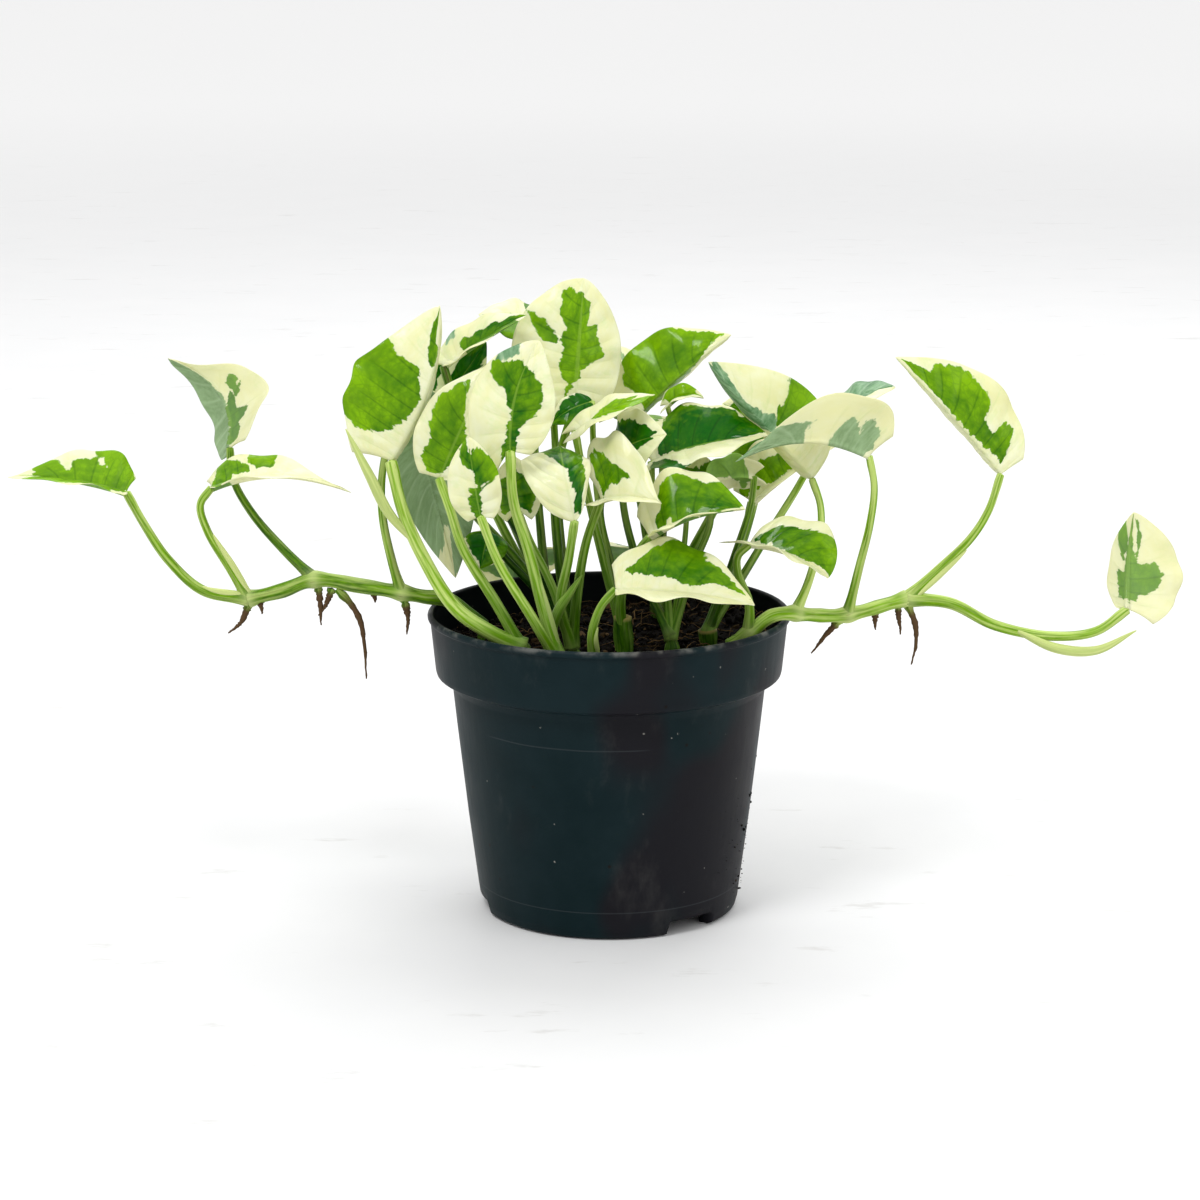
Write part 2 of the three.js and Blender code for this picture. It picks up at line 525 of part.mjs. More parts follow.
// A point of the blade's middle surface. along runs from 0 at the joint to 1 at the tip, and across from -1
// at the left edge to 1 at the right edge. The outline is two half ellipses that meet where the blade is
// broadest, the front one drawn out to a point. Each line across sweeps forward as the side veins do, and
// lies on an arc that leaves the rib at the fold and turns on by the curl. Waves grow towards the edge.
function bladePoint(blade, along, across) {
  const shape = across < 0 ? blade.left : blade.right;
  const [width, fold, curl = 0, drawn = TIP_POWER, lobe = LOBE_DEPTH] = shape;
  const side = Math.sign(across);
  const reach = Math.abs(across);
  const angle = LOBE_ANGLE + (Math.PI - LOBE_ANGLE) * along;
  const behind = angle < RIGHT_ANGLE;
  const edgeU = blade.broadest - (behind ? blade.broadest + lobe : 1 - blade.broadest) * Math.cos(angle);
  const ahead = Math.max(0, -Math.cos(angle));
  const edgeV = Math.max(0, Math.sin(angle)) ** (behind ? 1 : drawn) * (1 - TIP_TAPER * ahead ** 3);
  const ribU = along ** VEIN_POWER;
  const u = ribU + (edgeU - ribU) * reach ** VEIN_BEND;
  const v = edgeV * reach;
  const half = (radians(curl) * v) / 2;
  const chord = width * v * (Math.abs(half) < 1e-6 ? 1 : Math.sin(half) / half);
  const lean = radians(fold) + half;
  const ripple = Math.sin(2 * Math.PI * WAVE_COUNT * u + blade.phase + 2 * side);
  const wave = WAVE_HEIGHT * width * v * v * ripple;
  const { centre, right, normal } = ribFrame(blade, u);
  return centre
    .addScaledVector(right, side * chord * Math.cos(lean))
    .addScaledVector(normal, chord * Math.sin(lean) + wave);
}

// The upper face's normal, from the surface's slopes taken a small step inside its edges.
function bladeNormal(blade, along, across) {
  const step = 0.02;
  const s = THREE.MathUtils.clamp(along, step, 1 - 3 * step);
  const t = THREE.MathUtils.clamp(across, step - 1, 1 - step);
  const down = bladePoint(blade, s + step, t).sub(bladePoint(blade, s - step, t));
  const over = bladePoint(blade, s, t + step).sub(bladePoint(blade, s, t - step));
  return over.cross(down).normalize();
}

// A blade: the middle surface moved half its thickness to each side, with a wall round the edge.
function bladeMesh(name, blade) {
  const width = 2 * BLADE_COLUMNS + 1;
  const vertices = [];
  const faceSize = BLADE_ROWS * width + 1;
  for (const side of [0.5, -0.5]) {
    for (let row = 0; row <= BLADE_ROWS; row++) {
      const along = row / BLADE_ROWS;
      for (let column = 0; column < (row < BLADE_ROWS ? width : 1); column++) {
        const across = row < BLADE_ROWS ? column / BLADE_COLUMNS - 1 : 0;
        const offset = bladeNormal(blade, along, across).multiplyScalar(side * BLADE_THICKNESS);
        vertices.push(bladePoint(blade, along, across).add(offset));
      }
    }
  }
  const at = (row, column) => (row < BLADE_ROWS ? row * width + column : faceSize - 1);
  const corners = [];
  const both = (a, b, c) => corners.push(a, b, c, c + faceSize, b + faceSize, a + faceSize);
  for (let row = 0; row < BLADE_ROWS; row++) {
    for (let column = 0; column < width - 1; column++) {
      const [a, b] = [at(row, column), at(row, column + 1)];
      const [c, d] = [at(row + 1, column + 1), at(row + 1, column)];
      both(a, b, c);
      if (c !== d) both(a, c, d);
    }
  }
  const edge = [];
  for (let column = 0; column < width; column++) edge.push(at(0, column));
  for (let row = 1; row <= BLADE_ROWS; row++) edge.push(at(row, width - 1));
  for (let row = BLADE_ROWS - 1; row > 0; row--) edge.push(at(row, 0));
  edge.forEach((a, i) => {
    const b = edge[(i + 1) % edge.length];
    corners.push(a, a + faceSize, b + faceSize, a, b + faceSize, b);
  });
  return meshOf(name, geometryOf(vertices, corners), LEAF_MATERIAL);
}

const stems = { ...VINES, ...CUTTINGS };
const group = new THREE.Group();
group.add(pot(), soil(Object.values(stems)));
for (const [stemName, stem] of Object.entries(stems)) {
  group.add(leafyStem(stemName, stem));
  stem.leaves.forEach((blade, i) => {
    const number = i + 1;
    const phase = 1.7 * number + stemName.length;
    group.add(bladeMesh(`leaf_${stemName}_${number}`, { ...blade, phase }));
  });
}

export default group;
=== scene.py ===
"""A young variegated pothos in a round nursery pot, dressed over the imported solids.

Lengths in the plans and the sub-assemblies are millimetres, as in the solids. Meshes, and the heights and
radii in the finishes, are in metres, +Z up, -Y the front.
"""
import logging
import math
from dataclasses import dataclass, field
from enum import Enum

import bmesh
import bpy
import numpy as np
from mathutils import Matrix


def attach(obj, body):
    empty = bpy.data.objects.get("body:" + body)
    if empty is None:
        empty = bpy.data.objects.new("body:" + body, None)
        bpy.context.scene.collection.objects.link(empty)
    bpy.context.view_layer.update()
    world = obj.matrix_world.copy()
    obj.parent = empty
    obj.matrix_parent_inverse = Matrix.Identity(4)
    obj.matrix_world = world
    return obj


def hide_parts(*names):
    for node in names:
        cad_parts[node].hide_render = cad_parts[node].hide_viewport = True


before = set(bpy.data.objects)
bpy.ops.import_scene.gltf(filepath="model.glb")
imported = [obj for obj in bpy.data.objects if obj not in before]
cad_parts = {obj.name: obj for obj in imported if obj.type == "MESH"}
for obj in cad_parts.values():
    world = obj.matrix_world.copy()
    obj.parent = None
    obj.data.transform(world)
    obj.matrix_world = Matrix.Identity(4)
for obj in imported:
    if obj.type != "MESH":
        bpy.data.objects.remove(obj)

LOG = logging.getLogger("plant")
Array = np.ndarray
Piece, Material = bpy.types.Object, bpy.types.Material
Tree, Node, Socket = bpy.types.NodeTree, bpy.types.Node, bpy.types.NodeSocket
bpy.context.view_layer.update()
MM = 0.001

# where a usual blade is broadest, how far its lobes reach back, and the angle its half ellipse starts at
BROADEST, LOBE_DEPTH, LOBE_ANGLE = 0.38, 0.24, 0.5
# how drawn out its point is, how much the last stretch tapers, and the finest that the point gets
TIP_POWER, TIP_TAPER, NEEDLE = 1.7, 0.3, 0.03
# how the side veins crowd towards the joint, how they sweep forward, and the gap between two
VEIN_POWER, VEIN_BEND, VEIN_SPACING = 1.4, 1.5, 5.2
# the waves of its edge: their height as a share of the width, how many, and their shift from leaf to leaf
WAVE_HEIGHT, WAVE_COUNT, WAVE_SHIFT = 0.07, 2.5, 1.7
# rows of a blade's grid and columns of each half: most blades, and those at the back
FINE_GRID, COARSE_GRID = (58, 30), (46, 22)
# how fresh a stem's green is unless the plans say otherwise
USUAL_TONE = 0.5


class Tone(Enum):
    """How fresh a leaf's green is, from deep emerald at 0 to new yellow-green at 1."""

    DEEP = 0.0
    RICH = 0.3
    MID = 0.5
    FRESH = 0.75
    NEW = 1.0


@dataclass(frozen=True)
class Half:
    """One half of a blade: width, fold and curl in degrees, how drawn out its point is, its lobe's reach."""

    width: float
    fold: float
    curl: float = 0.0
    drawn: float = TIP_POWER
    lobe: float = LOBE_DEPTH


@dataclass(frozen=True)
class Leaf:
    """One leaf: its stalk's route to the joint, its tip, its face's azimuth and elevation, and its halves.

    thick is the radius of the stalk near its foot, sway bends the rib sideways, and broadest says how far
    along the rib the blade is widest.
    """

    stalk: Array
    tip: Array
    face: tuple[float, float]
    arch: float
    left: Half
    right: Half
    thick: float = 1.8
    sway: float = 0.0
    broadest: float = BROADEST


@dataclass(frozen=True)
class Pattern:
    """A blade's markings: its green's tone, islands of green, cream cut out of them, and grey-green patches.

    Each island is an outline of (along, across) pairs. along runs from 0 at the joint to 1 at the tip and
    across from -1 at the left edge to 1 at the right edge, along the side veins.
    """

    tone: Tone = Tone.MID
    green: tuple = (((0.1, -0.7), (0.5, -0.8), (0.95, 0), (0.5, 0.8), (0.1, 0.7), (0.2, 0)),)
    cream: tuple = ()
    dusk: tuple = ()
    under: float = 0.0


def leaf(stalk: list, tip: list, face: list, arch: float, left: list, right: list, **shape: float) -> Leaf:
    """A leaf from plain lists, in the order of the solids' own plan.

    Args:
        stalk: the stalk's route from its foot to the joint
        tip: the blade's tip
        face: azimuth and elevation of the way the upper face looks, in degrees
        arch: how far the rib's bend stands off its chord
        left: the left half's width, fold, curl and so on
        right: the same of the right half
        shape: thick, sway or broadest, where they differ from the usual

    Returns:
        the leaf
    """
    return Leaf(
        np.array(stalk, float), np.array(tip, float), tuple(face), arch, Half(*left), Half(*right), **shape
    )


# the two creeping stems: foot, radius, route, leaves, roots and sheaths
VINES = {
  "vine_left": {
    "foot": [-45, 3],
    "radius": 2.9,
    "stem": [
      [-45, 3, 102], [-51, 2, 107], [-58, 1, 112.5], [-66, -1, 114], [-74, -3, 116], [-89, -3, 118.5],
      [-105, -2, 120.5], [-117, 0, 116], [-129, 0, 113],
    ],
    "leaves": [
      leaf([[-129, 0, 113], [-145, -2, 116.5], [-157, -3, 128], [-165, -4, 141], [-171, -4, 152.5]],
        [-211, -14, 160], [0, 74], 2, [13, 21, 0, 1.7, 0], [15, 33, 0, 3.2, 0.1],
        thick=2, broadest=0.18),
      leaf([[-105, -2, 120.5], [-116, 3, 130], [-128, 9, 142.5], [-135, 14, 154], [-136, 15, 165]],
        [-159, 28, 195.5], [150, 20], 11, [23, 5, 0, 4, 0.1], [14, 5, 0, 1.5, 0.05], broadest=0.25),
      leaf([[-129, 0, 113], [-135, -1, 124], [-143, -2, 138.5], [-145, -3, 148], [-141, -3, 154]],
        [-91, -9, 153.5], [0, 78], 5.5, [15, 12, 0, 4.5, 0.1], [10, 20, 0, 1.7, 0], broadest=0.22),
      leaf([[-74, -3, 116], [-77, -6, 128], [-80, -8, 145], [-80, -8, 159], [-76, -12.5, 177],
        [-71, -2.5, 187]], [-55, 3, 120], [185, 10], 3, [12.5, 8, 0, 1.7, 0.05], [17, 8, 0, 1.7, 0.05]),
    ],
    "roots": [
      [[-129, 0, 111], [-132, -1, 104], [-136, -2, 101]],
      [[-125, 0, 112], [-124, -1, 109]],
      [[-104, -2, 118], [-103, -3, 112], [-103, -3, 104]],
      [[-99, -2, 117], [-101, -3, 112], [-104, -4, 108]],
      [[-97, -3, 117], [-92, -5, 112], [-89, -6, 106], [-88, -6, 98], [-88, -6, 85]],
      [[-84, -3, 116], [-83, -3, 112]],
      [[-73, -3, 113], [-72, -3, 107], [-73, -3, 101]],
    ],
  },
  "vine_right": {
    "foot": [42, -26],
    "radius": 2.8,
    "stem": [
      [42, -26, 102], [49, -24, 106], [57, -21, 111.5], [64, -18, 112], [70, -14, 110.5], [84, -8, 109],
      [106, -4, 114],
    ],
    "leaves": [
      leaf([[106, -4, 114], [117, -3, 124], [128.5, -4, 136], [134.5, -4, 146], [138.5, -4, 159]],
        [101, 2, 200], [10, 20], 3, [14, -98, -10, 1.7, 0], [20.5, 0, 0, 1.6, 0.08]),
      leaf([[106, -4, 114], [122, -3, 112], [138, -3, 104], [158, -3, 100], [174, -4, 102], [185, -4, 110]],
        [188, 8, 143], [190, 10], 2, [20, -5, 0, 1.2, 0.2], [10, 60, 10, 1.7, 0], thick=2.2),
      leaf([[66, -17, 112], [71, -10, 122], [75, -6, 138], [75, -3, 148], [72, -1.5, 157]],
        [35, 4, 198], [-15, 20], 2, [10, -60, -20, 1.7, 0], [20, 0, 0, 1.7, 0]),
      leaf([[85, -8, 109], [88.5, -10, 126], [92, -14, 144], [93, -16, 157], [91, -17, 168]],
        [44, -22, 167], [180, 20], 4, [22, 0, 0, 4.5, 0.1], [14, 78, 0, 1.7, 0],
        sway=-5, broadest=0.12),
      leaf([[49, -24, 106], [49, -24, 117], [45, -24, 128], [45, -24, 134], [49, -24, 138]],
        [76, -34, 128], [0, 71], 3, [15.5, 33, 0, 0.9, 0], [13, 33, 0, 1.7, 0.4], broadest=0.65),
    ],
    "roots": [
      [[82, -8, 107], [76, -10, 101], [72, -11, 97]],
      [[95, -6, 110], [95, -6, 103]],
      [[103, -4, 112], [104, -4, 101]],
      [[106, -4, 113], [109, -5, 105], [109, -5, 97], [107, -5, 90]],
    ],
    "sheaths": [[[146, -4, 102], [160, -5, 96], [174, -6, 95.5], [188, -7, 103]]],
  },
}

# the ten upright ones; i and j stand behind, out of the photograph's sight, and are made up
CUTTINGS = {
  "cutting_a": {
    "foot": [-30, -34],
    "leaves": [
      leaf([[-30, -34, 103], [-42, -34, 109], [-54, -30, 117], [-65, -26, 134], [-72, -24, 150],
        [-76, -22, 167]], [-59, -10, 220], [30, 5], 4, [27.5, -30, -5, 1.3, 0.16], [13, -55, -10, 1.7, 0],
        thick=2.8, sway=3.5),
      leaf([[-30, -34, 102], [-39, -32, 118], [-51, -30, 138], [-55, -30, 151], [-59, -27, 162]],
        [-41, -18, 200], [-5, 15], 3, [15, 0, 0, 1.5, 0.08], [12, 0, 0, 1.7, 0], thick=2.1),
    ],
    "sheaths": [[[-68, -25.5, 139], [-77, -26, 150], [-83, -28, 163], [-91, -30, 180]]],
  },
  "cutting_b": {
    "foot": [-18, -43],
    "leaves": [
      leaf([[-18, -43, 102], [-23, -43, 120], [-28, -42, 140], [-33, -41, 157], [-34, -40, 174]],
        [-24, -32, 211], [0, 20], 3, [15, 5, -10, 1.4, 0.38], [14.5, 0, -10, 1.4, 0.1],
        thick=2.3, sway=-3),
      leaf([[-18, -43, 101], [-27, -48, 118], [-38, -49, 137], [-44, -49, 153]],
        [-48, -46, 180], [-10, 20], 2, [9.5, 0, 0, 1.3, 0.1], [9, 0, 0, 1.3, 0.1], thick=2),
    ],
  },
  "cutting_c": {
    "foot": [-13, -27],
    "leaves": [
      leaf([[-13, -27, 102], [-17, -32, 118], [-14, -37, 136], [-12, -40, 149.5]],
        [-17, -22, 172.5], [-10, 40], 8, [14.5, 0, 0, 0.6, 0], [11, -35, 0, 0.8, 0],
        thick=2, broadest=0.85),
      leaf([[-13, -27, 102], [-11, -29, 123], [-8, -29, 140], [-3, -25, 154]],
        [18, -36, 155], [0, 72], 2, [25, 45, 0, 2.8, 0.3], [11, 14, 0, 1.7, 0], thick=2, broadest=0.02),
      leaf([[-13, -27, 101], [-20, -21, 122], [-28, -17, 138], [-32, -16, 148]],
        [-34, -14, 168], [0, 10], 1, [9, 0], [9, 0]),
    ],
  },
  "cutting_d": {
    "foot": [-5, -47],
    "radius": 2.8,
    "leaves": [
      leaf([[-5, -47, 102], [-6, -51, 112], [-3, -52, 122], [2, -49, 127.5]],
        [50, -47, 121.5], [0, 67], 2, [21, 22, 0, 1.7, 0.08], [18, 27, 0, 1.7, 0.05]),
    ],
  },
  "cutting_e": {
    "foot": [5, -19],
    "radius": 3.6,
    "stump": 111,
    "leaves": [
      leaf([[5, -19, 103], [4, -22, 117], [7, -25, 131], [14, -31, 142]],
        [47, -34, 152.5], [0, 70], 3, [21, 27, 0, 1.7, 0.1], [14, 32, 0, 1.1, 0], thick=2),
      leaf([[5, -19, 103], [1, -8, 126], [-3, -1, 146], [0, -1, 157], [2, -4, 165.5]],
        [20, -18, 176], [10, 35], 3, [14, 0, 0, 1.7, 0.1], [11, 0, 0, 1.7, 0.05]),
      leaf([[5, -19, 104], [-2, -14, 130], [-8, -11, 155], [-12, -12, 176]],
        [16, -12, 189], [0, 70], 2, [9, 0], [9, 15]),
      leaf([[5, -19, 104], [-1, -7, 130], [-5, 3, 160], [-6, 3, 184]],
        [-21, 2, 176], [0, 45], 2, [6, 0, 0, 1.7, 0], [6, 0, 0, 1.7, 0], thick=1.6),
    ],
  },
  "cutting_f": {
    "foot": [22, -18],
    "leaves": [
      leaf([[22, -18, 102], [20, -4, 122], [16, 0, 142], [15, 2, 162.5]],
        [56, -3.5, 173], [0, 69], 2, [20.5, 17], [20, 16, 0, 1.7, 0.1]),
      leaf([[22, -18, 103], [10, 6, 126], [5, 20, 150], [11, 26, 175]],
        [44, 28, 204], [-15, 25], 3, [20, 0, 0, 1.5, 0.4], [14, -103, 0, 1.7, 0]),
      leaf([[22, -18, 103], [28, 14, 140], [27, 21, 160], [21, 20, 179.5]],
        [34, 18.5, 182.5], [0, 60], 3, [5, 30], [5, 30], thick=1.3),
      leaf([[22, -18, 102], [30, -2, 125], [36, 1, 140], [36, 0, 154]],
        [22, -3, 161], [0, 20], 1, [9, 0, 0, 1.7, 0], [9, 0, 0, 1.7, 0]),
    ],
  },
  "cutting_g": {
    "foot": [35, -12],
    "radius": 3.4,
    "stump": 104.5,
    "leaves": [
      leaf([[35, -12, 103], [39, -7, 114], [45, -2, 128], [49, 3, 138], [51, 6, 147]],
        [85, 19, 167], [-10, 65], 2, [17, 20, 0, 1.7, 0.1], [7, 36, 0, 1.7, 0.05], thick=2.1),
      leaf([[35, -12, 103], [44, -10, 130], [50, -11, 150], [51, -12, 160]],
        [31, -14, 154], [180, 45], 3, [11, 10], [11, 10], thick=1.5),
      leaf([[35, -12, 103], [50, 16, 135], [56, 32, 155], [58, 30, 168]],
        [41, 28, 179], [0, 30], 2, [15, 0, 0, 1.7, 0], [15, 0, 0, 1.7, 0]),
      leaf([[35, -12, 103], [55, 12, 130], [72, 26, 155], [80, 29, 175]],
        [103, 22, 186], [0, 70], 2, [11, 0, 0, 1.7, 0.1], [11, 10, 0, 1.7, 0.05]),
    ],
  },
  "cutting_h": {
    "foot": [-14, 5],
    "radius": 3.4,
    "leaves": [
      leaf([[-14, 5, 102], [-18, 4, 127], [-19, 9, 156], [-12, 11, 183]],
        [-9, 24, 225], [0, 25], 2, [24, 0, 0, 0.9], [17, -22, -10, 1.2], thick=2),
      leaf([[-14, 5, 102], [-30, 15, 130], [-50, 15, 165], [-59, 13, 195]],
        [-29, 8, 214], [0, 60], 1, [11, 10], [11, 34, 0, 1.7, 0], thick=2),
      leaf([[-14, 5, 102], [-35, 18, 125], [-56, 26, 148], [-65, 27, 170]],
        [-44, 24, 202], [-10, 10], 2, [13, 0, 0, 1.7, 0], [10, 0, 0, 1.7, 0], thick=2),
      leaf([[-14, 5, 103], [-18, 18, 140], [-20, 28, 175], [-23, 33, 203]],
        [-47, 30, 211], [0, 60], 3, [12, 0, 0, 1.7, 0.1], [12, 0, 0, 1.7, 0]),
      leaf([[-14, 5, 102], [-28, 6, 117], [-38, 5, 128], [-43, 1.5, 137]],
        [-46, -5, 125], [0, 10], 2, [8, 0, 0, 1.7, 0], [8, 0, 0, 1.7, 0], thick=1.6),
    ],
  },
  "cutting_i": {
    "foot": [-22, 32],
    "leaves": [
      leaf([[-22, 32, 102], [-36, 38, 125], [-46, 44, 145], [-52, 46, 160]],
        [-66, 62, 138], [215, 35], 6, [20, 5], [20, 5], thick=2),
      leaf([[-22, 32, 102], [-25, 42, 130], [-27, 46, 158], [-27, 46, 178]],
        [-31, 72, 168], [185, 50], 6, [22, 5], [22, 5], thick=2),
      leaf([[-22, 32, 102], [-28, 46, 112], [-31, 56, 116], [-32, 63, 117]],
        [-38, 84, 94], [190, 40], 5, [20, 5], [20, 5], thick=2),
      leaf([[-22, 32, 103], [-38, 34, 140], [-50, 35, 165], [-53, 34, 180]],
        [-64, 54, 192], [200, 30], -2, [15, 5, 0, 1.7, 0], [13, 5, 0, 1.7, 0], thick=1.8),
    ],
  },
  "cutting_j": {
    "foot": [18, 30],
    "leaves": [
      leaf([[18, 30, 102], [32, 38, 125], [44, 44, 148], [48, 44, 164]],
        [62, 64, 150], [150, 40], 6, [17, 5], [17, 5], thick=2),
      leaf([[18, 30, 102], [20, 42, 128], [20, 47, 152], [20, 47, 168]],
        [24, 72, 156], [175, 50], 6, [20, 5], [20, 5], thick=2),
      leaf([[18, 30, 102], [17, 46, 112], [15, 57, 116], [14, 64, 117]],
        [16, 86, 94], [170, 40], 5, [20, 5], [20, 5], thick=2),
      leaf([[18, 30, 103], [12, 36, 140], [8, 40, 160], [7, 41, 175]],
        [4, 60, 195], [185, 30], -2, [15, 5, 0, 1.7, 0], [15, 5, 0, 1.7, 0], thick=2),
    ],
  },
}

# the ones that stand behind
REAR = ("cutting_i", "cutting_j")
# how fresh each stem's green is, where it differs from the usual
TONES = {
  "vine_left": 0.45, "vine_right": 0.8, "cutting_a": 1.0, "cutting_b": 1.0, "cutting_c": 0.8,
  "cutting_h": 0.2,
}
# shoots still rolled up, without a leaf of their own
NEW_SHOOTS = {
  "cutting_c": [
    [[-19, -33, 104], [-19.5, -34, 111], [-17, -34.5, 118], [-13, -34, 124], [-9.5, -33, 129]],
  ],
}
# papery sheaths: which stalk each clasps, and how far up it
CLASPS = {
  "vine_right": ((0, 0.5),), "vine_left": ((2, 0.6), (0, 0.3)), "cutting_b": ((0, 0.4),),
  "cutting_d": ((0, 0.5),),
}

